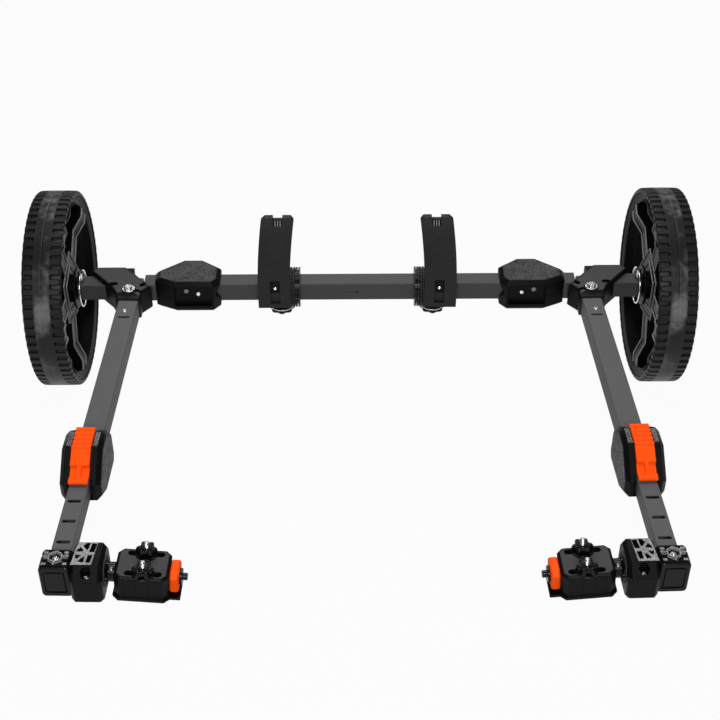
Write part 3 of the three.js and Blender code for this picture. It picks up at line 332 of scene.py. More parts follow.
def lobed(radius: float, lobes: int, share: float, sides: int) -> list[Pair]:
    """A round outline whose radius swells into lobes."""
    points: list[Pair] = []
    for i in range(sides):
        angle = 2 * math.pi * i / sides
        reach = radius * (1 + share * math.cos(lobes * angle)) / (1 + share)
        points.append((reach * math.cos(angle), reach * math.sin(angle)))
    return points


def lofted(outline: Sequence[Pair], rings: Sequence[Pair]) -> Solid:
    """Lofts an outline up z through rings.

    Args:
        outline: The outline at its full size.
        rings: Pairs of a share of that size and a height.

    Returns:
        The solid.
    """
    points = [(a * share, b * share, height) for share, height in rings for a, b in outline]
    return skinned(points, len(outline))


def cut_rectangle(width: float, depth: float, corner: float) -> list[Pair]:
    """A rectangle with cut corners."""
    w, d = width / 2, depth / 2
    return [
        (-w + corner, -d), (w - corner, -d), (w, -d + corner), (w, d - corner),
        (w - corner, d), (-w + corner, d), (-w, d - corner), (-w, -d + corner),
    ]


def inset(outline: Sequence[Pair], distance: float) -> list[Pair]:
    """Moves the edges of an outline inwards.

    Args:
        outline: An outline that runs anticlockwise.
        distance: How far its edges move.

    Returns:
        The smaller outline.
    """
    area = sum(a[0] * b[1] - b[0] * a[1] for a, b in zip(outline, [*outline[1:], outline[0]]))
    ordered = list(outline) if area > 0 else list(outline)[::-1]
    result: list[Pair] = []
    count = len(ordered)
    for i in range(count):
        before, here, after = (Vector(ordered[j % count]) for j in (i - 1, i, i + 1))
        first, second = (here - before).normalized(), (after - here).normalized()
        n1, n2 = Vector((-first.y, first.x)), Vector((-second.y, second.x))
        middle = (n1 + n2).normalized()
        result.append(tuple(here + middle * (distance / max(middle.dot(n1), SHARPEST_CORNER))))
    return result


def cross_bars(reach: float, half: float, low: float, high: float) -> Solid:
    """The cross that is sunk in a screw's head, between two heights."""
    along, across, heights = (-reach, reach), (-half, half), (low, high)
    return block(along, across, heights).join(block(across, along, heights))


def bolt_hole(x: float, y: float) -> Solid:
    """The hole for a bracket's bolt, through the moulding and the arm in it."""
    return rod(Axis.Z, 4.3, -30, 30, SMALL_SIDES).moved(x, y)


def square_tube(axis: Axis, size: float, wall: float, start: float, end: float) -> Solid:
    """A square tube with rounded corners along an axis."""
    bore = size - 2 * wall
    outside = prism(axis, rounded_rectangle(size, size, 2.0), start, end)
    return outside.cut(prism(axis, rounded_rectangle(bore, bore, 0.8), start - OVERRUN, end + OVERRUN))


# Shading


class Value:
    """A number that varies over a surface, on which Python's operators add Math nodes."""

    def __init__(self, sheet: "NodeSheet", socket: bpy.types.NodeSocket) -> None:
        """Keeps the sheet and the socket that gives the number."""
        self.sheet = sheet
        self.socket = socket

    def _math(self, operation: str, *operands: Union["Value", float]) -> "Value":
        """Adds one Math node."""
        node = self.sheet.node("ShaderNodeMath", {"operation": operation}, dict(enumerate(operands)))
        return Value(self.sheet, node.outputs[0])

    def __add__(self, other: Union["Value", float]) -> "Value":
        """The sum."""
        return self._math("ADD", self, other)

    __radd__ = __add__

    def __sub__(self, other: Union["Value", float]) -> "Value":
        """The difference."""
        return self._math("SUBTRACT", self, other)

    def __rsub__(self, other: float) -> "Value":
        """The difference from a number."""
        return self._math("SUBTRACT", other, self)

    def __mul__(self, other: Union["Value", float]) -> "Value":
        """The product."""
        return self._math("MULTIPLY", self, other)

    __rmul__ = __mul__

    def __abs__(self) -> "Value":
        """The size without its sign."""
        return self._math("ABSOLUTE", self)

    def sine(self) -> "Value":
        """The sine."""
        return self._math("SINE", self)

    def least(self, other: Union["Value", float]) -> "Value":
        """The smaller of two."""
        return self._math("MINIMUM", self, other)

    def most(self, other: Union["Value", float]) -> "Value":
        """The larger of two."""
        return self._math("MAXIMUM", self, other)

    def between(self, low: float, high: float) -> "Value":
        """Rises smoothly from 0 at low to 1 at high."""
        node = self.sheet.node(
            "ShaderNodeMapRange", {"interpolation_type": "SMOOTHSTEP"},
            {"Value": self, "From Min": low, "From Max": high},
        )
        return Value(self.sheet, node.outputs["Result"])


Feed = Union[Value, bpy.types.NodeSocket, float, Sequence[float]]


class NodeSheet:
    """The node tree of one material."""

    def __init__(self, name: str) -> None:
        """Starts a material with one principled shader."""
        self.material = bpy.data.materials.new(name)
        self.material.use_nodes = True
        self.tree = self.material.node_tree
        self.tree.nodes.clear()
        self.shader = self.node("ShaderNodeBsdfPrincipled")
        output = self.node("ShaderNodeOutputMaterial")
        self.tree.links.new(self.shader.outputs[0], output.inputs[0])

    def node(self, kind: str, settings: Optional[dict] = None,
             inputs: Optional[dict] = None) -> bpy.types.Node:
        """Adds a node.

        Args:
            kind: The node's type.
            settings: Its own settings, set first.
            inputs: Values or links of its sockets, by name or number.

        Returns:
            The node.
        """
        node = self.tree.nodes.new(kind)
        for key, value in (settings or {}).items():
            setattr(node, key, value)
        for key, value in (inputs or {}).items():
            self.feed(node.inputs[key], value)
        return node

    def feed(self, socket: bpy.types.NodeSocket, value: Feed) -> None:
        """Links a socket, or sets it where the value is constant."""
        if isinstance(value, Value):
            self.tree.links.new(value.socket, socket)
        elif isinstance(value, bpy.types.NodeSocket):
            self.tree.links.new(value, socket)
        else:
            socket.default_value = value

    def place(self) -> bpy.types.NodeSocket:
        """The place on the piece, in metres in the piece's own directions."""
        return self.node("ShaderNodeTexCoord").outputs["Object"]

    def axes(self) -> tuple[Value, Value, Value]:
        """The three parts of that place."""
        node = self.node("ShaderNodeSeparateXYZ", inputs={0: self.place()})
        return tuple(Value(self, node.outputs[i]) for i in range(3))

    def stretched(self, scale: Triple) -> bpy.types.NodeSocket:
        """The place with each direction multiplied."""
        node = self.node("ShaderNodeVectorMath", {"operation": "MULTIPLY"}, {0: self.place(), 1: scale})
        return node.outputs[0]

    def noise(self, scale: float, detail: float = 3.0, rough: float = 0.5,
              vector: Optional[bpy.types.NodeSocket] = None) -> Value:
        """Smooth noise from 0 to 1.

        Args:
            scale: Cells in a metre.
            detail: Octaves.
            rough: Share of each finer octave.
            vector: The place it is read at, which is the piece's own by default.

        Returns:
            The noise.
        """
        node = self.node("ShaderNodeTexNoise", inputs={
            "Vector": vector or self.place(), "Scale": scale, "Detail": detail, "Roughness": rough,
        })
        return Value(self, node.outputs[0])

    def cells(self, scale: float) -> Value:
        """Distance from the middles of small cells."""
        node = self.node("ShaderNodeTexVoronoi", inputs={"Vector": self.place(), "Scale": scale})
        return Value(self, node.outputs["Distance"])

    def mixed(self, factor: Feed, first: Feed, second: Feed) -> bpy.types.NodeSocket:
        """A colour between two colours."""
        inputs = {0: factor, 6: first, 7: second}
        return self.node("ShaderNodeMix", {"data_type": "RGBA"}, inputs).outputs[2]

    def bumped(self, height: Value, depth: float, strength: float = 1.0) -> None:
        """Feeds the shader's normal from a height.

        Args:
            height: The height, from 0 to 1.
            depth: What 1 stands for, in metres.
            strength: How much of it shows.
        """
        node = self.node("ShaderNodeBump", inputs={"Strength": strength, "Distance": depth, "Height": height})
        self.feed(self.shader.inputs["Normal"], node.outputs[0])

    def dress(self, **sockets: Feed) -> bpy.types.Material:
        """Feeds sockets of the shader, whose names have _ for a space, and returns the material."""
        for key, value in sockets.items():
            self.feed(self.shader.inputs[key.replace("_", " ")], value)
        return self.material


def grey(level: float, warm: float = 0.0) -> tuple[float, float, float, float]:
    """A near-neutral colour."""
    return (level * (1 + warm), level, level * (1 - warm), 1.0)


@dataclass(frozen=True)
class TubeCoat:
    """Dark grey satin coat on the square tubes, with fine grain and faint rubs along the tube."""

    along: Triple
    level: float
    name: str

    def make(self) -> bpy.types.Material:
        """The material."""
        sheet = NodeSheet(self.name)
        drawn = sheet.noise(900, 2, 0.5, sheet.stretched(self.along))
        broad = sheet.noise(14, 3)
        rub = sheet.noise(260, 2, 0.6, sheet.stretched(self.along)).between(0.66, 0.78)
        tone = (drawn - 0.5) * 0.25 + (broad - 0.5) * 0.5 + 0.5
        base = sheet.mixed(tone, grey(self.level * 0.82), grey(self.level * 1.18, -0.006))
        colour = sheet.mixed(rub * 0.25, base, grey(self.level * 1.9))
        sheet.bumped(drawn * 0.4 + sheet.noise(2600, 1) * 0.6, 0.00006, 0.5)
        rough = 0.42 + 0.14 * broad + 0.08 * drawn
        return sheet.dress(Base_Color=colour, Roughness=rough, Specular_IOR_Level=0.12)


@dataclass(frozen=True)
class Moulded:
    """Moulded plastic with a fine sparked grain."""

    name: str
    level: float = 0.0022
    lift: float = 1.5
    gloss: float = 0.32
    grain: float = 1500.0
    depth: float = 0.00007
    shine: float = 0.09

    def make(self) -> bpy.types.Material:
        """The material."""
        sheet = NodeSheet(self.name)
        fine = sheet.noise(self.grain, 2, 0.6)
        broad = sheet.noise(35, 3)
        scuff = sheet.noise(210, 4, 0.7).between(0.62, 0.8)
        base = sheet.mixed(fine * 0.5 + broad * 0.5, grey(self.level * 0.7), grey(self.level * self.lift))
        colour = sheet.mixed(scuff * 0.35, base, grey(self.level * 2.6 + 0.004))
        sheet.bumped(fine, self.depth, 0.6)
        rough = self.gloss + 0.14 * broad + 0.08 * fine
        return sheet.dress(Base_Color=colour, Roughness=rough, Specular_IOR_Level=self.shine)


@dataclass(frozen=True)
class Sparked:
    """Coarse sparked texture of the inset panels."""

    name: str
    low: float = 0.004
    high: float = 0.085
    grain: float = 520.0

    def make(self) -> bpy.types.Material:
        """The material."""
        sheet = NodeSheet(self.name)
        cells = sheet.cells(self.grain).between(0.1, 0.75)
        fine = sheet.noise(self.grain * 3, 2)
        patch = sheet.noise(60, 2)
        height = cells * 0.7 + fine * 0.3
        tone = (height * 1.1 + patch * 0.8 - 0.62).most(0.0).least(1.0)
        colour = sheet.mixed(tone, grey(self.low), grey(self.high))
        sheet.bumped(height, 0.00035, 0.8)
        return sheet.dress(Base_Color=colour, Roughness=0.52 + 0.25 * fine, Specular_IOR_Level=0.2)


@dataclass(frozen=True)
class OrangePlastic:
    """Satin orange plastic of the levers and catches."""

    name: str = "orange_plastic"
    colour: Triple = (0.98, 0.085, 0.0015)

    def make(self) -> bpy.types.Material:
        """The material."""
        sheet = NodeSheet(self.name)
        broad = sheet.noise(70, 3)
        fine = sheet.noise(1600, 2)
        r, g, b = self.colour
        deep = (r * 0.86, g * 0.72, b, 1.0)
        bright = (r, g * 1.12, b * 1.5, 1.0)
        colour = sheet.mixed(broad * 0.7 + fine * 0.3, deep, bright)
        sheet.bumped(fine, 0.00004, 0.5)
        return sheet.dress(Base_Color=colour, Roughness=0.42 + 0.16 * broad, Specular_IOR_Level=0.08)


@dataclass(frozen=True)
class TyreRubber:
    """Black tyre with grey patches on its centre band."""

    band: float = 0.0135
    name: str = "tyre_rubber"

    def make(self) -> bpy.types.Material:
        """The material."""
        sheet = NodeSheet(self.name)
        across, _, _ = sheet.axes()
        band = 1 - abs(across).between(self.band * 0.72, self.band)
        patch = sheet.noise(22, 4, 0.6)
        fine = sheet.noise(900, 3, 0.6)
        band_patches = band * patch.between(0.46, 0.74)
        base = sheet.mixed(fine * 0.6 + patch * 0.4, grey(0.002), grey(0.009))
        colour = sheet.mixed(band_patches * 0.85, base, grey(0.17))
        sheet.bumped(fine * 0.6 + patch * 0.4, 0.0003, 0.5)
        rough = 0.28 + 0.2 * patch + 0.1 * fine
        return sheet.dress(Base_Color=colour, Roughness=rough, Specular_IOR_Level=0.22)


@dataclass(frozen=True)
class Zinc:
    """Bright zinc plate with fine turning marks."""

    name: str = "bright_zinc"

    def make(self) -> bpy.types.Material:
        """The material."""
        sheet = NodeSheet(self.name)
        broad = sheet.noise(240, 3)
        fine = sheet.noise(3000, 2)
        colour = sheet.mixed(broad, grey(0.5), grey(0.8, 0.01))
        sheet.bumped(fine * 0.5 + broad * 0.5, 0.00003, 0.4)
        return sheet.dress(Base_Color=colour, Roughness=0.14 + 0.14 * broad, Metallic=1.0)


@dataclass(frozen=True)
class PadSkin:
    """Soft dark skin of the hull pads, with a fine crossed grain."""

    name: str = "pad_skin"

    def make(self) -> bpy.types.Material:
        """The material."""
        sheet = NodeSheet(self.name)
        x, _, z = sheet.axes()
        weave = (x * 3600).sine() * 0.25 + (z * 3600).sine() * 0.25 + 0.5
        fine = sheet.noise(1300, 3, 0.6)
        broad = sheet.noise(40, 3)
        coarse = sheet.noise(420, 3, 0.7).between(0.35, 0.7)
        tone = weave * 0.15 + fine * 0.25 + coarse * 0.35 + broad * 0.25
        colour = sheet.mixed(tone, grey(0.002), grey(0.026))
        sheet.bumped(weave * 0.3 + fine * 0.3 + coarse * 0.4, 0.0004, 0.7)
        return sheet.dress(Base_Color=colour, Roughness=0.45 + 0.2 * fine, Specular_IOR_Level=0.2)


@dataclass
class Paints:
    """Every finish on the cart, made once."""

    bar: bpy.types.Material
    arm: bpy.types.Material
    black: bpy.types.Material
    gloss: bpy.types.Material
    rim: bpy.types.Material
    grey: bpy.types.Material
    # painted highlights on raised lines, ribs and a screw
    edge: bpy.types.Material
    panel: bpy.types.Material
    coarse: bpy.types.Material
    pale: bpy.types.Material
    orange: bpy.types.Material
    tyre: bpy.types.Material
    zinc: bpy.types.Material
    pad: bpy.types.Material
    hollow: bpy.types.Material

    @classmethod
    def mixed(cls) -> "Paints":
        """Makes the finishes."""
        return cls(
            bar=TubeCoat(along=(0.03, 1, 1), level=0.06, name="bar_tube_coat").make(),
            arm=TubeCoat(along=(1, 0.03, 1), level=0.09, name="arm_tube_coat").make(),
            black=Moulded("black_plastic").make(),
            gloss=Moulded("smooth_black_plastic", level=0.0016, lift=1.4, gloss=0.14, grain=1200,
                          depth=0.00003, shine=0.18).make(),
            rim=Moulded("rim_plastic", level=0.0014, lift=1.5, gloss=0.3, grain=1000, depth=0.00005,
                        shine=0.08).make(),
            grey=Moulded("grey_moulding", level=0.042, lift=1.6, gloss=0.5, grain=1100, depth=0.00012,
                         shine=0.1).make(),
            # light grey that paints highlights: bright lines on the rim's ridges and the pad's ribs, and a
            # faint glint on a latch screw
            edge=Moulded("worn_edge_plastic", level=0.2, lift=1.6, gloss=0.4, grain=900, depth=0.00005,
                         shine=0.3).make(),
            panel=Sparked("sparked_panel").make(),
            coarse=Sparked("coarse_sparked_panel", low=0.002, high=0.2, grain=400).make(),
            pale=Sparked("pale_sparked_panel", low=0.1, high=0.42, grain=620).make(),
            orange=OrangePlastic().make(),
            tyre=TyreRubber().make(),
            zinc=Zinc().make(),
            pad=PadSkin().make(),
            hollow=Moulded("deep_shadow_plastic", level=0.004, lift=1.3, gloss=0.6).make(),
        )


# Placing


@dataclass
class Bench:
    """Where finished solids become pieces of the cart."""

    paints: Paints
    count: int = 0

    def piece(
        self, name: str, solid: Solid, place: Matrix, finish: bpy.types.Material, body: str, slot: Slot,
        side: Side = Side.RIGHT, edge: float = 0.5,
    ) -> None:
        """Puts a solid on the cart as a named piece.

        A piece whose name ends in form or shell stands for the frame's node that the rest of its name gives.

        Args:
            name: The piece's name.
            solid: Its shape, in millimetres in its own directions, made for the right side.
            place: From those directions to the scene's, in metres.
            finish: Its material.
            body: The body it rides on.
            slot: The record's slot for its finish. Not used.
            side: The side it stands on. The left one is the mirror image.
            edge: Width of its rounded edges, in millimetres.
        """
        mesh = solid.mesh.copy()
        mesh.transform(Matrix.Diagonal((MM * side.value, MM, MM, 1)))
        if side is Side.LEFT:
            mesh.flip_normals()
        mesh.name = name
        mesh.materials.clear()
        mesh.materials.append(finish)
        mesh.polygons.foreach_set("use_smooth", [True] * len(mesh.polygons))
        mesh.polygons.foreach_set("material_index", [0] * len(mesh.polygons))
        mesh.set_sharp_from_angle(angle=SMOOTH_ANGLE)
        item = bpy.data.objects.new(name, mesh)
        bpy.context.scene.collection.objects.link(item)
        item.matrix_world = place
        if edge > 0:
            bevel = item.modifiers.new("rounded_edges", "BEVEL")
            bevel.width = edge * MM
            bevel.segments = 2
            bevel.limit_method = "ANGLE"
            bevel.angle_limit = SMOOTH_ANGLE
            bevel.use_clamp_overlap = False
            bevel.miter_outer = "MITER_ARC"
            shading = item.modifiers.new("even_shading", "WEIGHTED_NORMAL")
            shading.keep_sharp = True
        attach(item, body)
        node, _, kind = name.rpartition("_")
        if kind in STANDS_FOR_A_NODE:
            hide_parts(node)
        self.count += 1
        log.info("piece %s on %s", name, body)


def shift(x: float = 0.0, y: float = 0.0, z: float = 0.0) -> Matrix:
    """A shift given in millimetres."""
    return Matrix.Translation((x * MM, y * MM, z * MM))


def basis(first: Triple, second: Triple, origin: Triple) -> Matrix:
    """A frame from two of its directions and its origin in millimetres."""
    u, v = Vector(first), Vector(second)
    turn = Matrix((u, v, u.cross(v))).transposed().to_4x4()
    return shift(*origin) @ turn


@dataclass(frozen=True)
class Plane:
    """The plane of the U-shaped frame, from the crossbar's middle, and the places that hang on it."""

    tube: float = 30.0
    arm_root: float = 351.0
    splay: float = math.radians(1.55)
    pivot_y: float = -603.0
    ball_x: float = 50.75
    base_roll: float = math.radians(4.5)

    def deck(self) -> Matrix:
        """The deck's frame, read from the crossbar's node."""
        low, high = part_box("crossbar_tube")
        tilt = math.asin((high.z - low.z) / (self.tube * MM * math.sqrt(2))) - math.pi / 4
        return Matrix.Translation((low + high) / 2) @ Matrix.Rotation(tilt, 4, "X")

    def arm(self, side: Side) -> Matrix:
        """An arm's frame, with its own y along the arm."""
        turn = Matrix.Rotation(side.value * self.splay, 4, "Z")
        return self.deck() @ shift(side.value * self.arm_root) @ turn

    def base(self, side: Side) -> Matrix:
        """The frame of a track base, rolled about the ball."""
        x = -side.value * self.ball_x
        turn = Matrix.Rotation(-side.value * self.base_roll, 4, "Y")
        return self.arm(side) @ shift(x, self.pivot_y) @ turn @ shift(-x)


# Sub-assemblies


@dataclass
class Latch:
    """A clamping latch: two housing halves, inset panels and a rocking lever."""

    bench: Bench
    length: float = 100.0
    rise: float = 42.0
    back: float = 30.5
    half: float = 26.5
    chamfer: float = 6.0
    channel: float = 15.3
    slot: float = 12.9
    lever_half: float = 12.5
    pivot: Pair = (62.0, 35.0)
    parting: float = 0.15
    recess: float = 8.0
    rib_start: float = 22.5
    rib_pitch: float = 8.4
    rib_depth: float = 2.4
    crest: float = 45.6
    waist: Pair = (83.0, 96.5)
    outline: tuple[Pair, ...] = (
        (0, -0.6), (0.095, -1), (0.69, -1), (1, -0.5), (1, 0.24), (0.605, 1), (0.29, 1), (0, 0.46),
    )

    def corners(self) -> list[Pair]:
        """The housing's side outline."""
        return [(a * self.length, b * (self.rise if b > 0 else self.back)) for a, b in self.outline]

    def housing(self, up: int) -> Solid:
        """Both halves of the housing as one.

        Args:
            up: Which way up its front stands: 1 or -1, or 0 where both halves are alike.

        Returns:
            The housing.
        """
        ends = (-OVERRUN, self.length + OVERRUN)
        floor = (-self.back - OVERRUN, self.recess - self.back)
        body = prism(Axis.Z, self.corners(), -self.half, self.half, self.chamfer)
        channel, slot = self.channel, self.slot
        body = body.cut(
            block(ends, (-channel, channel), (-channel, channel)),
            block(ends, (channel + 2.2, self.rise + OVERRUN), (-slot, slot)),
            block((50, ends[1]), (channel - 2, self.rise + OVERRUN), (-slot, slot)),
            block((17, 67), floor, (-14, 14)),
            prism(Axis.Y, [(-12, 0), (0, 7), (12, 0), (0, -7)], floor[0], 0).moved(0, 0, 5 * up),
            rod(Axis.Z, 2.8, -18.2, 18.2, SMALL_SIDES).moved(self.pivot[0], self.pivot[1]),
        )
        if up:
            body = body.cut(block((13, 70), floor, tuple(sorted((-15 * up, 19.5 * up)))))
        return body

    def shell(self, sign: int, up: int) -> Solid:
        """The half above or below the parting plane."""
        reach = (-2 * self.length, 2 * self.length)
        keep = (self.parting, self.half * 2) if sign > 0 else (-self.half * 2, -self.parting)
        return self.housing(up).within(block(reach, reach, keep))

    def panel(self, sign: int) -> Solid:
        """The sparked panel on a half's outer face."""
        shape = inset(self.corners(), self.chamfer + 2.4)
        near, far = self.half - 0.6, self.half + 0.35
        low, high = (near, far) if sign > 0 else (-far, -near)
        return prism(Axis.Z, shape, low, high, chamfer=0.25)

    def frame_line(self, sign: int) -> Solid:
        """The narrow raised line round the panel."""
        outer = inset(self.corners(), self.chamfer + 0.9)
        inner = inset(self.corners(), self.chamfer + 2.0)
        near, far = self.half - 0.6, self.half + 0.3
        spans = (near, far) if sign > 0 else (-far, -near)
        return prism(Axis.Z, outer, *spans).cut(prism(Axis.Z, inner, spans[0] - 1, spans[1] + 1))

    def lever(self, tip: float) -> Solid:
        """The rocking lever.

        Args:
            tip: Height of the tooth's tip above the tube's axis.

        Returns:
            The lever with its ribs, waist, lip, pivot pins and tooth.
        """
        outline: list[Pair] = [(self.rib_start, 38)]
        for i in range(5):
            for share, rise in ((0.12, 0), (0.3, 0.8), (0.5, 1), (0.72, 1), (0.88, 0.8), (1.0, 0)):
                u = self.rib_start + (i + share) * self.rib_pitch
                outline.append((u, self.crest + (rise - 1) * self.rib_depth - 0.32 * (i + share)))
        outline += [(98, 21), (102.5, 20.4), (104.5, 18.2), (104.5, 15.8), (85, 15.8), (61.5, 38)]
        half = self.lever_half
        body = prism(Axis.Z, outline[::-1], -half, half)
        near, far = self.waist
        slope = (21 - 44) / (98 - 64.5)
        top = [44 + slope * (u - 64.5) - deep for u, deep in ((near, 6.5), (far, 4.6))]
        hollow = [(near, 44), (near, top[0]), (far, top[1]), (far, 44)]
        body = body.cut(
            prism(Axis.Z, hollow, 2.8, half + OVERRUN),
            prism(Axis.Z, hollow, -half - OVERRUN, -2.8),
        )
        pin = rod(Axis.Z, 5, -half, half, SMALL_SIDES)
        pin = pin.join(rod(Axis.Z, 2.5, -half - 5, half + 5, SMALL_SIDES))
        tooth = block((92.5, 96.5), (tip, 17.6), (-5, 5))
        return body.join(pin.moved(*self.pivot), tooth)

    def screw(self) -> Solid:
        """A small pan screw whose head points down v."""
        head = lofted(circle(3.6, SMALL_SIDES), [(1, 0), (1, 1), (0.8, 1.9), (0.4, 2.3)])
        return head.cut(cross_bars(2.2, 0.5, 1.2, 4)).moved(turn=Matrix.Rotation(math.pi / 2, 4, "X"))

    def build(self, stem: str, side: Side, place: Matrix, tip: float, names: tuple[str, str],
              bodies: tuple[str, str]) -> None:
        """Builds and dresses the latch.

        Args:
            stem: bar or arm.
            side: The side it is on.
            place: The latch's frame.
            tip: Height of the tooth's tip.
            names: What the halves above and below the parting plane are called.
            bodies: The bodies of the housing and the lever.
        """
        paints, piece = self.bench.paints, self.bench.piece
        word = f"{stem}_latch_{side.word}"
        up = side.value if stem == "bar" else 0
        sparked = paints.panel if stem == "bar" else paints.coarse
        for sign, name in zip((1, -1), names):
            node = f"{word}_{name}"
            piece(f"{node}_shell", self.shell(sign, up), place, paints.black, bodies[0], Slot.BLACK,
                  edge=0.7)
            piece(f"{node}_panel", self.panel(sign), place, sparked, bodies[0], Slot.GREY, edge=0.0)
            piece(f"{node}_line", self.frame_line(sign), place, paints.grey, bodies[0], Slot.GREY,
                  edge=0.15)
            if stem == "arm":
                pads = [(13.9, 20.2)] if sign > 0 else [(-20.2, -13.9)]
                cheek = block((31, 59), (41.4, 42.35), pads[0])
                piece(f"{node}_cheek", cheek, place, paints.coarse, bodies[0], Slot.GREY, edge=0.2)
        lever = f"{stem}_latch_lever_{side.word}"
        piece(f"{lever}_form", self.lever(tip), place, paints.orange, bodies[1], Slot.ORANGE, edge=0.45)
        if stem == "bar":
            for i, (u, z) in enumerate(((33.7, 4.0), (52.0, 8.5))):
                screw = self.screw().moved(u, self.recess - self.back, side.value * z)
                # The second screw's light grey paints the faint glint that is all that shows of it.
                finish = (paints.zinc, paints.edge)[i]
                piece(f"{word}_screw_{i + 1}", screw, place, finish, bodies[0], Slot.ZINC, edge=0.1)


@dataclass
class TelescopingTubes:
    """The crossbar, its end tubes and the two tubes of each arm."""

    bench: Bench
    plane: Plane
    size: float = 30.0
    inner: float = 25.0
    wall: float = 2.0
    bar_half: float = 266.0
    bar_end: float = 334.0
    spigot: float = 150.0
    pitch: float = 36.0
    gap: float = 0.3
    stop: float = 5.0
    first_bar_slot: float = 310.5
    outer_slot: float = -99.3
    middle_inner_slot: float = -459.5
    bolt_at: Pair = (2.5, -33.6)

    def slot(self, depth: float, width: float = 4.6) -> Solid:
        """A cross slot through a tube's top wall."""
        return prism(Axis.Z, [(-b, a) for a, b in slot_outline(17.5, width)], -depth, 2)

    def bar_end_tube(self) -> Solid:
        """The tube beyond the crossbar with the spigot inside it."""
        start = self.bar_half + self.gap
        tube = square_tube(Axis.X, self.size, self.wall, start, self.bar_end)
        spigot = square_tube(Axis.X, self.inner, self.wall, start - self.spigot, start + self.stop)
        collar = square_tube(Axis.X, self.size, 4.5, start, start + self.stop)
        tube = tube.join(spigot, collar)
        turn = Matrix.Rotation(-math.pi / 2, 4, "X")
        for i in range(4):
            x = self.first_bar_slot - i * self.pitch
            surface = self.size / 2 if x > start else self.inner / 2
            tube = tube.cut(self.slot(self.size / 2).moved(x, surface, turn=turn))
        return tube

    def outer(self) -> Solid:
        """The outer tube of an arm."""
        tube = square_tube(Axis.Y, self.size, self.wall, -425, 5)
        turn = Matrix.Rotation(math.pi / 2, 4, "Z")
        slot = self.slot(self.size / 2).moved(0, self.outer_slot, self.size / 2, turn=turn)
        return tube.cut(bolt_hole(*self.bolt_at), slot)

    def inner_tube(self) -> Solid:
        """The inner tube of an arm with its row of slots."""
        tube = square_tube(Axis.Y, self.inner, self.wall, -612, -240)
        turn = Matrix.Rotation(math.pi / 2, 4, "Z")
        for i in range(-4, 4):
            y = self.middle_inner_slot - i * self.pitch
            tube = tube.cut(self.slot(self.inner / 2, 5.6).moved(0, y, self.inner / 2, turn=turn))
        return tube

    def centre_mark(self) -> Solid:
        """The small cross that marks the crossbar's middle, on its front."""
        proud, sunk = -15.06, -14.9
        cross = block((-3.6, 3.6), (proud, sunk), (-0.5, 0.5))
        cross = cross.join(block((-0.5, 0.5), (proud, sunk), (-3.2, 3.2)))
        return cross.join(block((-22, 1), (-15.04, sunk), (-0.22, 0.22)))

    def arm_screw(self) -> Solid:
        """The small screw in the top of an arm, next to its bracket."""
        head = turned(Axis.Z, [(3.6, 14.6), (3.6, 15.6), (2.9, 16.4)], SMALL_SIDES)
        return head.cut(cross_bars(2.2, 0.5, 15.4, 18))

    def build(self) -> None:
        """Builds and dresses every tube."""
        paints, piece, deck = self.bench.paints, self.bench.piece, self.plane.deck()
        bar = square_tube(Axis.X, self.size, self.wall, -self.bar_half, self.bar_half)
        piece("crossbar_tube_form", bar, deck, paints.bar, "crossbar", Slot.TUBE, edge=0.25)
        mark = self.centre_mark().moved(-4.7, 0, 0)
        piece("crossbar_mark", mark, deck, paints.hollow, "crossbar", Slot.BLACK, edge=0.0)
        for side in Side:
            end, word = f"end_{side.word}", side.word
            arm = self.plane.arm(side)
            piece(f"bar_end_tube_{word}_form", self.bar_end_tube(), deck, paints.bar, end, Slot.TUBE, side,
                  edge=0.25)
            piece(f"arm_outer_tube_{word}_form", self.outer(), arm, paints.arm, end, Slot.TUBE, side,
                  edge=0.25)
            screw = self.arm_screw().moved(1.0, -84.3)
            piece(f"arm_outer_tube_{word}_screw", screw, arm, paints.zinc, end, Slot.ZINC, side, edge=0.1)
            piece(f"arm_inner_tube_{word}_form", self.inner_tube(), arm, paints.arm, f"arm_inner_{word}",
                  Slot.TUBE, side, edge=0.25)


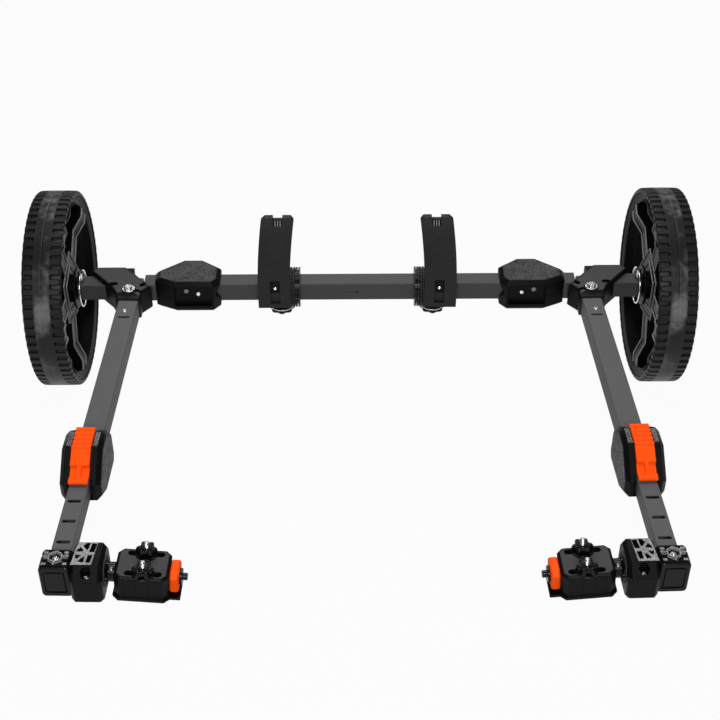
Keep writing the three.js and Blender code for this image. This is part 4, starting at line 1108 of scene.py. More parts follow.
@dataclass
class CornerBracket:
    """The moulding that joins crossbar, arm and axle, with its bolt, axle, lock pin and wire ring."""

    bench: Bench
    plane: Plane
    half: float = 20.0
    origin: Pair = (321.0, -46.0)
    width: float = 99.5
    depth: float = 76.0
    bolt_y: float = -33.5
    bolt_out: float = 2.5
    socket: float = 15.3
    stub_socket: float = 13.8
    pin_x: float = 431.5
    outline: tuple[Pair, ...] = (
        (1, 0.85), (0.89, 1), (0.46, 1), (0.3, 0.765), (0, 0.275), (0.13, 0.055), (0.19, 0), (0.53, 0),
        (0.605, 0.22),
    )
    pockets: tuple[Triple, ...] = ((0.585, 0.36, 0.0), (0.12, 0.33, 135.0), (0.2, 0.09, 30.0))

    def corners(self) -> list[Pair]:
        """The outline in the plane of the frame."""
        return [(self.origin[0] + a * self.width, self.origin[1] + b * self.depth) for a, b in self.outline]

    def bolt_x(self) -> float:
        """The bolt's x, on the arm's centre line and a little outwards."""
        splay = self.plane.splay
        return self.plane.arm_root + self.bolt_out / math.cos(splay) - self.bolt_y * math.tan(splay)

    def pocket_tools(self) -> list[Solid]:
        """The rounded pockets beside the bolt."""
        tools = []
        for a, b, degrees in self.pockets:
            turn = Matrix.Rotation(math.radians(degrees), 4, "Z")
            tool = prism(Axis.Z, slot_outline(14, 9.6), self.half - 5, self.half + 3)
            x, y = self.origin[0] + a * self.width, self.origin[1] + b * self.depth
            tools.append(tool.moved(x, y, turn=turn))
        return tools

    def moulding(self) -> Solid:
        """The bracket with its sockets, nose, bump and pockets."""
        splay = Matrix.Rotation(self.plane.splay, 4, "Z")
        body = prism(Axis.Z, self.corners(), -self.half, self.half, chamfer=2.5)
        face = [(-17.5, -17.2), (17.5, -17.2), (17.5, 17.2), (-17.5, 17.2)]
        nose = prism(Axis.Y, face, -57, -40, chamfer=1.5)
        body = body.join(
            nose.moved(self.plane.arm_root, turn=splay),
            block((353, 372), (8, 30), (-17, 17)),
        )
        tube, stub = (-self.socket, self.socket), (-self.stub_socket, self.stub_socket)
        arm = block(tube, (-99.5, 5.3), tube).moved(self.plane.arm_root, turn=splay)
        body = body.cut(
            block((234, 334.3), tube, tube), arm,
            block((369.7, 470), stub, stub),
            bolt_hole(self.bolt_x(), self.bolt_y),
            *self.pocket_tools(),
        )
        return body

    def plate(self) -> Solid:
        """The plain sparked plate on top."""
        shape = inset(self.corners(), 4.2)
        plate = prism(Axis.Z, shape, self.half - 0.6, self.half + 0.45, chamfer=0.25)
        ring_hole = rod(Axis.Z, 11.6, 0, 40, HOLE_SIDES).moved(self.bolt_x(), self.bolt_y)
        return plate.cut(ring_hole, *self.pocket_tools())

    def bolt(self) -> Solid:
        """The bolt with its washer above and nut below."""
        low, high = -self.half - 0.3, self.half + 0.3
        shank = rod(Axis.Z, 4, low - 6, high + 4, SMALL_SIDES)
        washer = turned(Axis.Z, [(9.6, high), (10, high + 0.4), (10, high + 1.2), (9.6, high + 1.6)])
        head = prism(Axis.Z, hexagon(6.4), high + 1.6, high + 5.6, chamfer=0.5)
        socket = prism(Axis.Z, hexagon(2.9), high + 3.2, high + 8)
        nut = prism(Axis.Z, hexagon(6.4), low - 5, low, chamfer=0.5)
        return shank.join(washer, head, nut).cut(socket)

    def axle(self) -> Solid:
        """The square stub and the spindle with its head."""
        stub = prism(Axis.X, rounded_rectangle(27, 27, 1.6), 370, 437)
        spindle = turned(Axis.X, [(8, 423), (8, 491.4), (13.4, 491.4), (14, 492), (14, 493.4), (12.6, 494.4)])
        return stub.join(spindle).cut(rod(Axis.Z, 3.3, -27, 27, SMALL_SIDES).moved(self.pin_x))

    def pin(self) -> Solid:
        """The lock pin with its grooved head."""
        return turned(Axis.Z, [
            (2.2, -21.5), (3, -20.5), (3, 13.8), (4.6, 13.8), (5, 14.2), (5, 20), (4.3, 20.6), (4.3, 22.4),
            (5, 23), (5, 29), (4.2, 29.8),
        ], SMALL_SIDES)

    def wire_ring(self) -> Solid:
        """The round wire ring."""
        radius, wire, steps, sides = 28.0, 1.35, 72, 12
        start = math.atan2(5.6, radius)
        points = []
        for i in range(steps + 1):
            angle = start + (2 * math.pi - 2 * start) * i / steps
            out = Vector((0, math.sin(angle), math.cos(angle)))
            for k in range(sides):
                turn = 2 * math.pi * k / sides
                points.append(out * (radius + wire * math.cos(turn)) + Vector((wire * math.sin(turn), 0, 0)))
        return skinned(points, sides)

    def build(self) -> None:
        """Builds and dresses both corners."""
        paints, piece, deck = self.bench.paints, self.bench.piece, self.plane.deck()
        for side in Side:
            word, end = side.word, f"end_{side.word}"
            pin_place = deck @ shift(side.value * self.pin_x)
            bolt_place = deck @ shift(side.value * self.bolt_x(), self.bolt_y)
            piece(f"corner_bracket_{word}_form", self.moulding(), deck, paints.black, end, Slot.GREY, side,
                  edge=0.7)
            piece(f"corner_bracket_{word}_plate", self.plate(), deck, paints.grey, end, Slot.GREY, side,
                  edge=0.0)
            piece(f"bracket_bolt_{word}_form", self.bolt(), bolt_place, paints.zinc, end, Slot.ZINC, side,
                  edge=0.15)
            piece(f"axle_{word}_form", self.axle(), deck, paints.grey, end, Slot.GREY, side, edge=0.3)
            piece(f"lock_pin_{word}_form", self.pin(), pin_place, paints.zinc, end, Slot.ZINC, side,
                  edge=0.0)
            piece(f"pin_bail_{word}_form", self.wire_ring(), pin_place, paints.zinc, f"bail_{word}",
                  Slot.ZINC, side, edge=0.0)


@dataclass
class Wheel:
    """A wheel with a lugged tyre on a dished rim of five spokes."""

    bench: Bench
    plane: Plane
    radius: float = 151.0
    half: float = 29.0
    centre_x: float = 463.0
    seat: float = 143.5
    lugs: int = 65
    groove: float = 3.6
    barrel: float = 140.0
    rim_half: float = 26.0
    web_inner: float = 13.0
    web_thick: float = 16.0
    dish_radius: float = 92.0
    dish_edge: float = 116.0
    dish_reach: float = 24.5
    lip_radius: float = 131.0
    hub: float = 22.0
    spokes: int = 5
    spoke_half: float = 14.0
    flat: float = 48.0
    line_half: float = 0.55
    line_depth: float = 1.8

    def tyre(self) -> Solid:
        """The tyre, whose shoulders are cut into lugs on either side of a smooth band."""
        r, h = self.radius, self.half
        side = [
            (h - 0.6, self.seat, 0.0), (h, self.seat + 0.8, 0.0), (h, r - 4.6, 0.35), (h - 1.0, r - 2.0, 0.8),
            (h - 3.2, r - 0.4, 1.0), (h - 14.2, r - 0.1, 1.0), (h - 16.4, r - 0.05, 0.0),
        ]
        right = [*side, (6.0, r, 0.0), (0.9, r, 0.0), (0.4, r - 0.35, 0.0)]
        profile = right + [(-x, radius, cut) for x, radius, cut in right[::-1]]
        phases = ((0.0, False), (0.06, True), (0.46, True), (0.52, False), (0.76, False))
        points = []
        for i in range(self.lugs):
            for phase, low in phases:
                angle = 2 * math.pi * (i + phase) / self.lugs
                for x, radius, cut in profile:
                    reach = radius - (self.groove * cut if low else 0)
                    points.append((x, reach * math.cos(angle), reach * math.sin(angle)))
        return skinned(points, len(profile), endless=True)

    def turned_to(self, index: float) -> Matrix:
        """The turn to a spoke, where 0 is the first window."""
        return Matrix.Rotation(2 * math.pi * index / self.spokes, 4, "X")

    def window(self) -> list[Pair]:
        """The opening between two spokes, about the first direction."""
        outer, pitch = self.lip_radius - 1, math.pi / self.spokes
        reach = pitch - math.asin(self.spoke_half / outer)
        angles = [reach * (i / 6 - 1) for i in range(13)]
        points = [(outer * math.cos(angle), outer * math.sin(angle)) for angle in angles]
        x = self.flat * math.cos(pitch) + self.spoke_half * math.sin(pitch)
        y = self.flat * math.sin(pitch) - self.spoke_half * math.cos(pitch)
        return [*points, (x, y), (self.flat / math.cos(pitch), 0), (x, -y)]

    def inner_hollow(self, grow: float = 0.0) -> Solid:
        """The space on the cart's side of the web, moved by a distance towards the cart."""
        return turned(Axis.X, [
            (self.barrel + 1, -40), (self.barrel + 1, -27), (self.lip_radius, -20.5 - grow),
            (self.lip_radius, -self.dish_reach - grow), (self.dish_edge, -self.dish_reach - grow),
            (self.dish_radius, -self.web_inner - grow),
        ], RIM_SIDES)

    def outer_hollow(self, grow: float = 0.0) -> Solid:
        """The space on the far side of the web, moved by a distance away from the cart."""
        web = self.web_thick + grow
        return turned(Axis.X, [
            (self.dish_radius, web - self.web_inner), (self.dish_edge, web - self.dish_reach),
            (self.barrel, web - self.dish_reach), (self.barrel, 40),
        ], RIM_SIDES)

    def rim(self) -> Solid:
        """The rim with its barrel, dished web, windows and hub."""
        outer, h = self.seat - 0.3, self.rim_half
        body = turned(Axis.X, [(outer - 1, -h), (outer, 1 - h), (outer, h - 1), (outer - 1, h)], RIM_SIDES)
        body = body.cut(self.inner_hollow(), self.outer_hollow())
        for i in range(self.spokes):
            body = body.cut(prism(Axis.X, self.window(), -26, 26).moved(turn=self.turned_to(i)))
        hub = turned(Axis.X, [
            (30.4, -25), (31, -24.4), (31, -21), (self.hub, -21), (self.hub, 27), (self.hub - 1, 28),
        ])
        return body.join(hub).cut(rod(Axis.X, 8.3, -27, 30, HOLE_SIDES))

    def lines(self) -> Solid:
        """Outlines of the raised lines: two beside each spoke and two five-sided ones round the hub."""
        pitch = 2 * math.pi / self.spokes
        parts: list[Solid] = []
        for apothem in (self.flat - 1, 31.0):
            rings = []
            for reach in (apothem + self.line_half, apothem - self.line_half):
                radius = reach / math.cos(pitch / 2)
                rings.append(prism(Axis.X, circle(radius, self.spokes), -40, 40))
            parts.append(rings[0].cut(rings[1]))
        for i in range(self.spokes):
            for sign in (-1, 1):
                offset = sign * (self.spoke_half - 1.1)
                wide = (offset - self.line_half, offset + self.line_half)
                line = block((-40, 40), (self.flat - 1.5, self.lip_radius), wide)
                parts.append(line.moved(turn=self.turned_to(i + 0.5)))
        return parts[0].join(*parts[1:])

    def ridges(self) -> Solid:
        """The raised lines on both faces of the web."""
        lines = self.lines()
        inner = self.inner_hollow(-0.6).cut(self.inner_hollow(self.line_depth))
        outer = self.outer_hollow(-0.6).cut(self.outer_hollow(self.line_depth))
        return lines.within(inner).beside(lines.within(outer))

    def lips(self) -> Solid:
        """The lips at the barrel's two mouths, whose pale grey is a painted highlight on the black rim."""
        h, outer = self.rim_half, self.seat - 0.5
        flare = turned(Axis.X, [(outer, -h - 0.8), (outer, -h), (self.lip_radius + 0.4, -20.3)], RIM_SIDES)
        flare = flare.cut(turned(Axis.X, [
            (self.barrel + 1.2, -h - 2), (self.barrel, -h - 0.8), (self.lip_radius - 1.2, -19),
        ], RIM_SIDES))
        return flare.beside(ring(Axis.X, outer, self.barrel - 0.3, h - 0.6, h + 0.5, RIM_SIDES))

    def build(self) -> None:
        """Builds and dresses both wheels."""
        paints, piece = self.bench.paints, self.bench.piece
        for side in Side:
            word, body = side.word, f"wheel_{side.word}"
            tilted = self.plane.deck() @ shift(side.value * self.centre_x)
            place, turn = Matrix.Translation(tilted.translation), tilted.to_3x3().to_4x4()
            piece(f"tyre_{word}_form", self.tyre().moved(turn=turn), place, paints.tyre, body, Slot.TYRE,
                  side, edge=0.45)
            piece(f"wheel_rim_{word}_form", self.rim().moved(turn=turn), place, paints.rim, body,
                  Slot.BLACK, side, edge=0.6)
            # The ridges' light grey paints the highlights along the raised lines of the black rim.
            piece(f"wheel_rim_{word}_ridges", self.ridges().moved(turn=turn), place, paints.edge, body,
                  Slot.BLACK, side, edge=0.3)
            # The lips' grey paints the highlight along the barrel's mouths.
            piece(f"wheel_rim_{word}_lips", self.lips().moved(turn=turn), place, paints.grey, body,
                  Slot.BLACK, side, edge=0.2)


@dataclass
class Knuckle:
    """The block on an arm's end that holds the neck's ball, with its end cap and the neck."""

    bench: Bench
    plane: Plane
    collar: float = 18.75
    tall: float = 24.0
    width: float = 38.0
    back: float = -572.0
    front: float = -635.0
    top: float = 25.0
    bottom: float = 28.0
    middle: Pair = (-35.6, -599.0)
    nut_at: Pair = (1.4, -603.0)
    screw_at: Pair = (-37.75, -625.0)
    outline: tuple[Pair, ...] = (
        (0, -0.55), (0.2, -1), (0.875, -1), (1, -0.72), (1, 0.48), (0.73, 1), (0.13, 1), (0, 0.5),
    )

    def lattice(self, low: float, high: float) -> list[Solid]:
        """The pockets whose walls stand as ribs in the top face, about the lattice's middle."""
        outlines = [
            [(12, 6), (8.6, 10.7), (3.4, 3.6), (12.4, 2.2)],
            [(6, 12.9), (1.6, 18.0), (-2.2, 17.6), (-1.0, 5.4), (1.6, 6.2)],
            [(-4.4, 17.2), (-10.6, 16.4), (-9.0, 2.0), (-2.4, 2.0)],
            [(-2.0, -2.2), (-8.2, -2.2), (-6.6, -15.4), (-1.2, -15.4)],
            [(0.8, -5.0), (1.6, -15.0), (8.8, -13.8), (4.6, -7.0)],
            [(13.0, -2.2), (5.0, -2.2), (10.6, -9.6), (12.9, -5.7)],
        ]
        return [prism(Axis.Z, outline, low, high).moved(*self.middle) for outline in outlines]

    def block_form(self) -> Solid:
        """The knuckle: a collar over the tube's end and a socket block on its inner side."""
        depth = self.back - self.front
        side = [(self.back - a * depth, b * (self.top if b > 0 else self.bottom)) for a, b in self.outline]
        inner = -self.collar - self.width
        ball_at = (-self.plane.ball_x, self.plane.pivot_y)
        section = [(a * self.tall, b * self.collar) for a, b in (
            (-1, -0.8), (-1, 0.8), (-0.84, 1), (0.84, 1), (1, 0.8), (1, -0.8), (0.84, -1), (-0.84, -1),
        )]
        body = prism(Axis.Y, section, -619, -592).join(
            prism(Axis.X, side[::-1], inner, 0.3 - self.collar, chamfer=4.5))
        return body.cut(
            block((-12.8, 12.8), (-612.3, -590), (-12.8, 12.8)),
            block((-14.6, 15.6), (-616.8, -594.2), (self.tall - 4.4, self.tall + 3)),
            block((16.4, 22), (-600.6, -597.4), (-5, self.tall + 3)),
            prism(Axis.Z, hexagon(6.5), 9, self.top + 4).moved(*self.screw_at),
            ball(12.4).moved(*ball_at),
            turned(Axis.X, [(15, -8), (10, 0)], HOLE_SIDES).moved(*ball_at),
            *self.lattice(self.top - 7, self.top + 2),
        )

    def plate(self) -> Solid:
        """The pale plate on the top face, open over the lattice's pockets."""
        outline = [(12.5, 18.2), (-11, 18.2), (-8.4, -18.6), (16.6, -18.6), (15.4, -12), (14.4, 6)]
        plate = prism(Axis.Z, outline, self.top - 0.6, self.top + 0.35, chamfer=0.2).moved(*self.middle)
        recess = prism(Axis.Z, hexagon(7.4), 9, self.top + 4).moved(*self.screw_at)
        return plate.cut(recess, *self.lattice(self.top - 7, self.top + 2))

    def webs(self) -> Solid:
        """The pale walls that stand in the collar's recess round the nut."""
        low, high = self.tall - 4.8, self.tall + 0.1
        nut = Matrix.Rotation(math.pi / 2, 4, "Z")
        ring_form = prism(Axis.Z, hexagon(9.6), low, high).cut(prism(Axis.Z, hexagon(8.0), low - 1, high + 1))
        x, y = self.nut_at
        return ring_form.moved(x, y, turn=nut).join(
            block((-14.8, x - 8), (y - 0.2, y + 1.6), (low, high)),
            block((x - 0.8, x + 0.8), (y + 9, -594), (low, high)),
            block((x - 0.8, x + 0.8), (-617, y - 9), (low, high)),
            block((x + 8, 15.8), (y - 0.8, y + 1.0), (low, high)),
        ).beside(
            block((-14.8, -8.5), (-597.4, -594.0), (low, high - 0.8)),
            block((-14.8, -9), (-617, -612.6), (low, high - 0.8)),
            block((10.6, 15.8), (-617, -613), (low, high - 0.8)),
            block((10.6, 15.8), (-597.4, -594.0), (low, high - 0.8)),
        )

    def nut(self) -> Solid:
        """The screw's end and its nut in the middle of the collar's recess."""
        nut = prism(Axis.Z, hexagon(4.6), self.tall - 7, self.tall - 3.4, chamfer=0.4)
        profile = [(2.4, self.tall - 6), (2.4, self.tall - 2.2), (1.8, self.tall - 1.7)]
        screw = turned(Axis.Z, profile, SMALL_SIDES)
        return nut.join(screw).moved(*self.nut_at)

    def screw(self) -> Solid:
        """The screw at the bottom of the six-sided recess in the sloping front."""
        head = turned(Axis.Z, [(3.6, 8.6), (3.6, 11.0), (3.0, 11.8)], sides=40)
        return head.cut(prism(Axis.Z, hexagon(1.9), 10.2, 14)).moved(*self.screw_at)

    def socket_ring(self) -> Solid:
        """The lip round the ball's socket, split by the clamp's slit; its grey paints the bright line along
        the clamp's edge.
        """
        inner = -self.collar - self.width
        lip = ring(Axis.X, 19.0, 16.0, inner - 0.9, inner + 1.5, DISC_SIDES).moved(0, self.plane.pivot_y)
        return lip.cut(block((inner - 2, inner + 2), (-625, -600), (-0.9, 0.9)))

    def cap(self) -> Solid:
        """The end cap: a rounded frame round a raised panel."""
        rim = rounded_rectangle(2 * self.tall, 36.9, 5.0)
        plate = prism(Axis.Y, rim, -623.3, -619.3, chamfer=1.4).moved(0.3)
        well = prism(Axis.Y, rounded_rectangle(35, 27, 2.5), -630, -621.4).moved(0.3)
        panel = prism(Axis.Y, rounded_rectangle(30.5, 22.6, 1.5), -623.1, -620.4, chamfer=0.7).moved(0.3)
        return plate.cut(well).join(panel)

    def neck(self) -> Solid:
        """The neck: ball, stem, collar and the shaft through the base."""
        body = turned(Axis.X, [
            (7, -132), (7, -68.6), (11.4, -68.6), (12, -68), (12, -60.1), (11.4, -59.5), (8.6, -59.5),
            (8, -58.6), (8, -self.plane.ball_x),
        ])
        return ball(12).moved(-self.plane.ball_x).join(body)

    def neck_screw(self) -> Solid:
        """The small screw in the neck, turned a little towards the front."""
        head = turned(Axis.Z, [(2.2, 10), (2.2, 12.2), (1.7, 12.7)], SMALL_SIDES)
        return head.moved(-64, turn=Matrix.Rotation(math.radians(28), 4, "X"))

    def build(self) -> None:
        """Builds and dresses both knuckles."""
        paints, piece = self.bench.paints, self.bench.piece
        for side in Side:
            word, body = side.word, f"arm_inner_{side.word}"
            arm = self.plane.arm(side)
            piece(f"knuckle_{word}_form", self.block_form(), arm, paints.black, body, Slot.BLACK, side,
                  edge=0.5)
            piece(f"knuckle_{word}_plate", self.plate(), arm, paints.pale, body, Slot.BLACK, side, edge=0.0)
            piece(f"knuckle_{word}_webs", self.webs(), arm, paints.pale, body, Slot.BLACK, side, edge=0.15)
            piece(f"knuckle_{word}_nut", self.nut(), arm, paints.zinc, body, Slot.ZINC, side, edge=0.15)
            piece(f"knuckle_{word}_screw", self.screw(), arm, paints.zinc, body, Slot.ZINC, side, edge=0.15)
            # The socket lip's grey is a painted highlight along the black clamp's edge.
            piece(f"knuckle_{word}_socket_lip", self.socket_ring(), arm, paints.grey, body, Slot.BLACK,
                  side, edge=0.3)
            piece(f"end_cap_{word}_form", self.cap(), arm, paints.gloss, body, Slot.BLACK, side, edge=0.4)
            base = self.plane.base(side)
            piece(f"swivel_neck_{word}_form", self.neck(), base, paints.gloss, f"neck_{word}", Slot.BLACK,
                  side, edge=0.3)
            piece(f"swivel_neck_{word}_screw", self.neck_screw(), base, paints.zinc, f"neck_{word}",
                  Slot.ZINC, side, edge=0.1)


@dataclass
class TrackBase:
    """A base that clamps on a gear track, with its bolts, lobed knobs and release catch."""

    bench: Bench
    plane: Plane
    centre: float = -101.5
    length: float = 65.0
    depth: float = 51.0
    top: float = 17.0
    bottom: float = 20.0
    bolt_x: float = -103.5
    row: float = 16.5
    catch_near: float = -134.4
    corner: float = 7.0
    foot: float = 3.6

    def moulding(self) -> Solid:
        """The base with its foot, tab, slots, grooves and bore."""
        outline = cut_rectangle(self.length, self.depth, self.corner)
        body = prism(Axis.Z, outline, -self.bottom, self.top, chamfer=2.5)
        foot_top, end = self.foot - self.bottom, self.length / 2
        sole = cut_rectangle(self.length + 4, self.depth + 4, self.corner)
        foot = prism(Axis.Z, sole, -self.bottom, foot_top)
        body = body.join(foot, block((-end - 14, 2 - end), (-21, 21), (-self.bottom, foot_top)))
        body = body.cut(rod(Axis.X, 7.4, -65, 65, HOLE_SIDES))
        for sign in (-1, 1):
            slot = prism(Axis.Z, slot_outline(43, 6.8), -self.bottom - 2, self.top + 2)
            groove = block((-26.5, 26.5), (-4.9, 4.9), (-self.bottom - 2, 3.3 - self.bottom))
            place = (self.bolt_x - self.centre, sign * self.row, 0)
            body = body.cut(slot.moved(*place), groove.moved(*place))
        return body.moved(self.centre)

    def plate(self) -> Solid:
        """The plain sparked plate on top, open at the slots."""
        shape = inset(cut_rectangle(self.length, self.depth, self.corner), 3.6)
        plate = prism(Axis.Z, shape, self.top - 0.6, self.top + 0.25, chamfer=0.2)
        for sign in (-1, 1):
            slot = prism(Axis.Z, slot_outline(45, 8.8), self.top - 3, self.top + 2)
            plate = plate.cut(slot.moved(self.bolt_x - self.centre, sign * self.row))
        return plate.moved(self.centre)

    def flank_ribs(self) -> Solid:
        """Shallow upright ribs on the base's front and back."""
        ribs = [
            block((x - 0.8, x + 0.8), (ys[0], ys[1]), (-16.4, 13.5)).moved(self.centre)
            for x in (-21, -7, 7, 21) for ys in ((-26.1, -25.2), (25.2, 26.1))
        ]
        return ribs[0].beside(*ribs[1:])

    def stud(self) -> Solid:
        """The threaded stud with its flat head."""
        profile: list[Pair] = [(2.9, -18.5), (3, self.top)]
        place = self.top + 0.5
        while place < self.top + 20:
            profile += [(2.55, place), (3.0, place + 0.5)]
            place += 1.0
        profile += [(2.4, self.top + 20.4), (1.9, self.top + 21)]
        head = block((-8, 8), (-4.5, 4.5), (-self.bottom, -self.bottom + 3))
        return turned(Axis.Z, profile, SMALL_SIDES).join(head)

    def knob(self) -> Solid:
        """The lobed nut on the stud, on a round flange."""
        base = self.top + 0.3
        body = lofted(lobed(13.2, lobes=6, share=0.17, sides=120), [
            (0.8, base + 1), (1, base + 2.6), (1, base + 7.6), (0.93, base + 9.6), (0.8, base + 10.6),
        ])
        rim = [(12.9, base), (13.5, base + 0.6), (13.5, base + 1.6), (12.6, base + 2.3)]
        flange = turned(Axis.Z, rim, DISC_SIDES)
        hub = turned(Axis.Z, [(7.0, base + 8), (6.6, base + 11.6), (5.8, base + 12.4)], HOLE_SIDES)
        return body.join(flange, hub).cut(rod(Axis.Z, 3.4, base - 1, base + 15, SMALL_SIDES))

    def catch(self) -> Solid:
        """The orange release plate."""
        near = self.catch_near
        plate = prism(Axis.X, cut_rectangle(34, 32, 6), near - 11, near, chamfer=2)
        grip = [block((near - 12, near - 10), (y - 1.2, y + 1.2), (-20, 20)) for y in (-13.5, 13.5)]
        return plate.cut(rod(Axis.X, 4.8, near - 13, near + 2, SMALL_SIDES), *grip)

    def catch_pin(self) -> Solid:
        """The stepped black pin through the plate."""
        face = self.catch_near - 11.3
        return turned(Axis.X, [
            (3.9, face - 9), (4.5, face - 8.4), (4.5, face - 3), (9.4, face - 3), (10, face - 2.4),
            (10, face), (4.5, face), (4.5, self.catch_near),
        ], HOLE_SIDES)

    def build(self) -> None:
        """Builds and dresses both bases."""
        paints, piece = self.bench.paints, self.bench.piece
        for side in Side:
            word, body = side.word, f"base_{side.word}"
            place = self.plane.base(side)
            piece(f"track_base_{word}_form", self.moulding(), place, paints.black, body, Slot.GREY, side,
                  edge=0.6)
            piece(f"track_base_{word}_plate", self.plate(), place, paints.grey, body, Slot.GREY, side,
                  edge=0.0)
            piece(f"track_base_{word}_ribs", self.flank_ribs(), place, paints.black, body, Slot.GREY, side,
                  edge=0.2)
            for row, name in ((-1, "front"), (1, "back")):
                at = place @ shift(side.value * self.bolt_x, row * self.row)
                piece(f"track_bolt_{word}_{name}_form", self.stud(), at, paints.zinc, f"bolt_{word}_{name}",
                      Slot.ZINC, side, edge=0.0)
                piece(f"track_knob_{word}_{name}_form", self.knob(), at, paints.gloss,
                      f"knob_{word}_{name}", Slot.BLACK, side, edge=0.3)
            piece(f"release_catch_{word}_form", self.catch(), place, paints.orange, f"release_{word}",
                  Slot.ORANGE, side, edge=0.5)
            piece(f"release_pin_{word}_form", self.catch_pin(), place, paints.gloss, f"release_{word}",
                  Slot.BLACK, side, edge=0.2)


@dataclass
class HullSupport:
    """A pad that turns on a toothed collar, with its knob."""

    bench: Bench
    plane: Plane
    half: float = 24.5
    face: float = -33.0
    bottom: float = -17.0
    straight: float = 60.0
    top: float = 136.0
    bend: float = 15.0
    thick: float = 13.0
    tip: float = 9.0
    sway: float = 9.5
    sleeve: float = 23.5
    disc: float = 31.0
    left_x: float = 132.5
    right_x: float = 123.6
    recess: float = 4.0
    sideways: Pair = (-49.0, 49.0)
    through: Pair = (-66.0, 33.0)

    def toothed(self, start: float, end: float) -> Solid:
        """A disc with small teeth round its edge."""
        teeth = 32
        root, tip = self.disc - 1, self.disc
        outline: list[Pair] = []
        for i in range(teeth):
            for phase, reach in ((0.0, root), (0.2, root), (0.38, tip), (0.82, tip)):
                angle = 2 * math.pi * (i + phase) / teeth
                outline.append((reach * math.cos(angle), reach * math.sin(angle)))
        return prism(Axis.X, outline, start, end)

    def collar(self) -> Solid:
        """The sleeve on the crossbar with its toothed disc."""
        outer, tube = -39.5, (-15.4, 15.4)
        body = rod(Axis.X, self.sleeve, outer, self.half, ROUND_SIDES)
        waist = ring(Axis.X, self.disc + 1, self.sleeve + 2.6, -37.0, -35.6, ROUND_SIDES)
        disc = self.toothed(outer, -32.5).cut(waist)
        return body.join(disc).cut(block(self.sideways, tube, tube))

    def side_outline(self) -> list[Pair]:
        """The pad's side, (y, z), straight over the hub and bending back at its tip."""
        points: list[Pair] = [(self.face, self.bottom), (self.face, self.straight)]
        back: list[Pair] = []
        for i in range(1, 17):
            share = i / 16
            y = self.face + self.bend * share * share
            z = self.straight + (self.top - self.straight) * share
            points.append((y, z))
            back.append((y + self.thick + (self.tip - self.thick) * share, z))
        return [*points, *back[::-1], (self.face + self.thick, self.bottom)][::-1]

    def front_outline(self) -> list[Pair]:
        """The pad's front, (z, x), swaying inwards as it rises."""
        def lean(z: float) -> float:
            """How far the pad's middle has swayed at a height."""
            return -self.sway * (max(z, 0) / self.top) ** 2

        shoulder, h = self.top - 5, self.half
        outer = [(shoulder * i / 16, lean(shoulder * i / 16) + h) for i in range(17)]
        inner = [(z, x - 2 * h) for z, x in outer][::-1]
        t = lean(self.top)
        crown = [(self.top, t + h - 5), (self.top, t + 7), (self.top - 4, t + 7), (self.top - 4, t - 7),
                 (self.top, t - 7), (self.top, t - h + 5)]
        return [(self.bottom, h), *outer, *crown, *inner, (self.bottom, -h)][::-1]

    def pad(self) -> Solid:
        """The pad with its hub, disc, recess and knob boss."""
        plate = prism(Axis.X, self.side_outline(), *self.sideways)
        plate = plate.within(prism(Axis.Y, self.front_outline(), *self.through))
        plate = plate.cut(block((-9.5, 5.5), (self.face - OVERRUN, self.face + self.recess), (-9, 33)))
        t = -self.sway
        plate = plate.cut(block((t - 6.5, t + 6.5), (-40, -16.5), (self.top - 13, self.top - 3)))
        bore = rod(Axis.X, self.sleeve + 0.4, *self.sideways, ROUND_SIDES)
        hub = rod(Axis.X, 29, -self.half, self.half, ROUND_SIDES)
        boss = rod(Axis.Z, 9, -self.disc, -self.sleeve, HOLE_SIDES).moved(-10)
        groove = ring(Axis.X, self.disc + 1, 27.5, -28.6, -27.2, ROUND_SIDES)
        disc = self.toothed(-self.half - 7, 0.4 - self.half).cut(bore, groove)
        return plate.join(hub, boss).cut(bore).join(disc)

    def notch_ribs(self) -> Solid:
        """The three ribs in the recess at the pad's tip."""
        low, high = self.top - 12.5, self.top - 4.4
        side = [(-22.4, low), (-18.6, high), (-15, high), (-16, low)]
        ribs = [prism(Axis.X, side[::-1], x - 0.6, x + 0.6).moved(-self.sway) for x in (-3.8, 0, 3.8)]
        return ribs[0].beside(*ribs[1:])

    def washer(self) -> Solid:
        """The bright washer between the hub and the knob."""
        disc = turned(Axis.Z, [(18.4, -2.0), (18.9, -1.5), (18.9, -0.5), (18.4, 0)], DISC_SIDES)
        return disc.moved(0, 0, -self.disc - 0.3)

    def seam(self) -> Solid:
        """The raised line where the pad's face skin ends on its sides and top."""
        shell = prism(Axis.Y, inset(self.front_outline(), -0.12), *self.through)
        edge = prism(Axis.X, [(y + 3.6, z) for y, z in self.side_outline()], *self.sideways)
        deep = prism(Axis.X, [(y + 4.6, z) for y, z in self.side_outline()], -50, 50)
        return shell.within(edge).cut(deep, rod(Axis.X, 30.5, *self.sideways, ROUND_SIDES))

    def recess_screw(self) -> Solid:
        """The small screw at the bottom of the recess."""
        head = lofted(circle(2.7, SMALL_SIDES), [(1, 0), (1, 0.8), (0.7, 1.5)])
        turn = Matrix.Rotation(math.pi / 2, 4, "X")
        return head.cut(cross_bars(1.6, 0.35, 0.8, 3)).moved(-2.0, self.face + self.recess, 17, turn=turn)

    def knob(self) -> Solid:
        """The lobed knob below the hub, with a dished middle."""
        body = lofted(lobed(22, lobes=8, share=0.07, sides=144), [
            (0.7, 1), (0.86, 2), (0.92, 3.2), (0.92, 6.0), (0.86, 7.6), (0.7, 9.4), (0.62, 10),
        ])
        dish = turned(Axis.Z, [(9.5, 7.6), (11.5, 12)])
        centre = rod(Axis.Z, 5.2, 6, 9.2, HOLE_SIDES)
        turn = Matrix.Rotation(math.pi, 4, "X")
        return body.cut(dish).join(centre).moved(0, 0, -self.disc - 0.3, turn=turn)

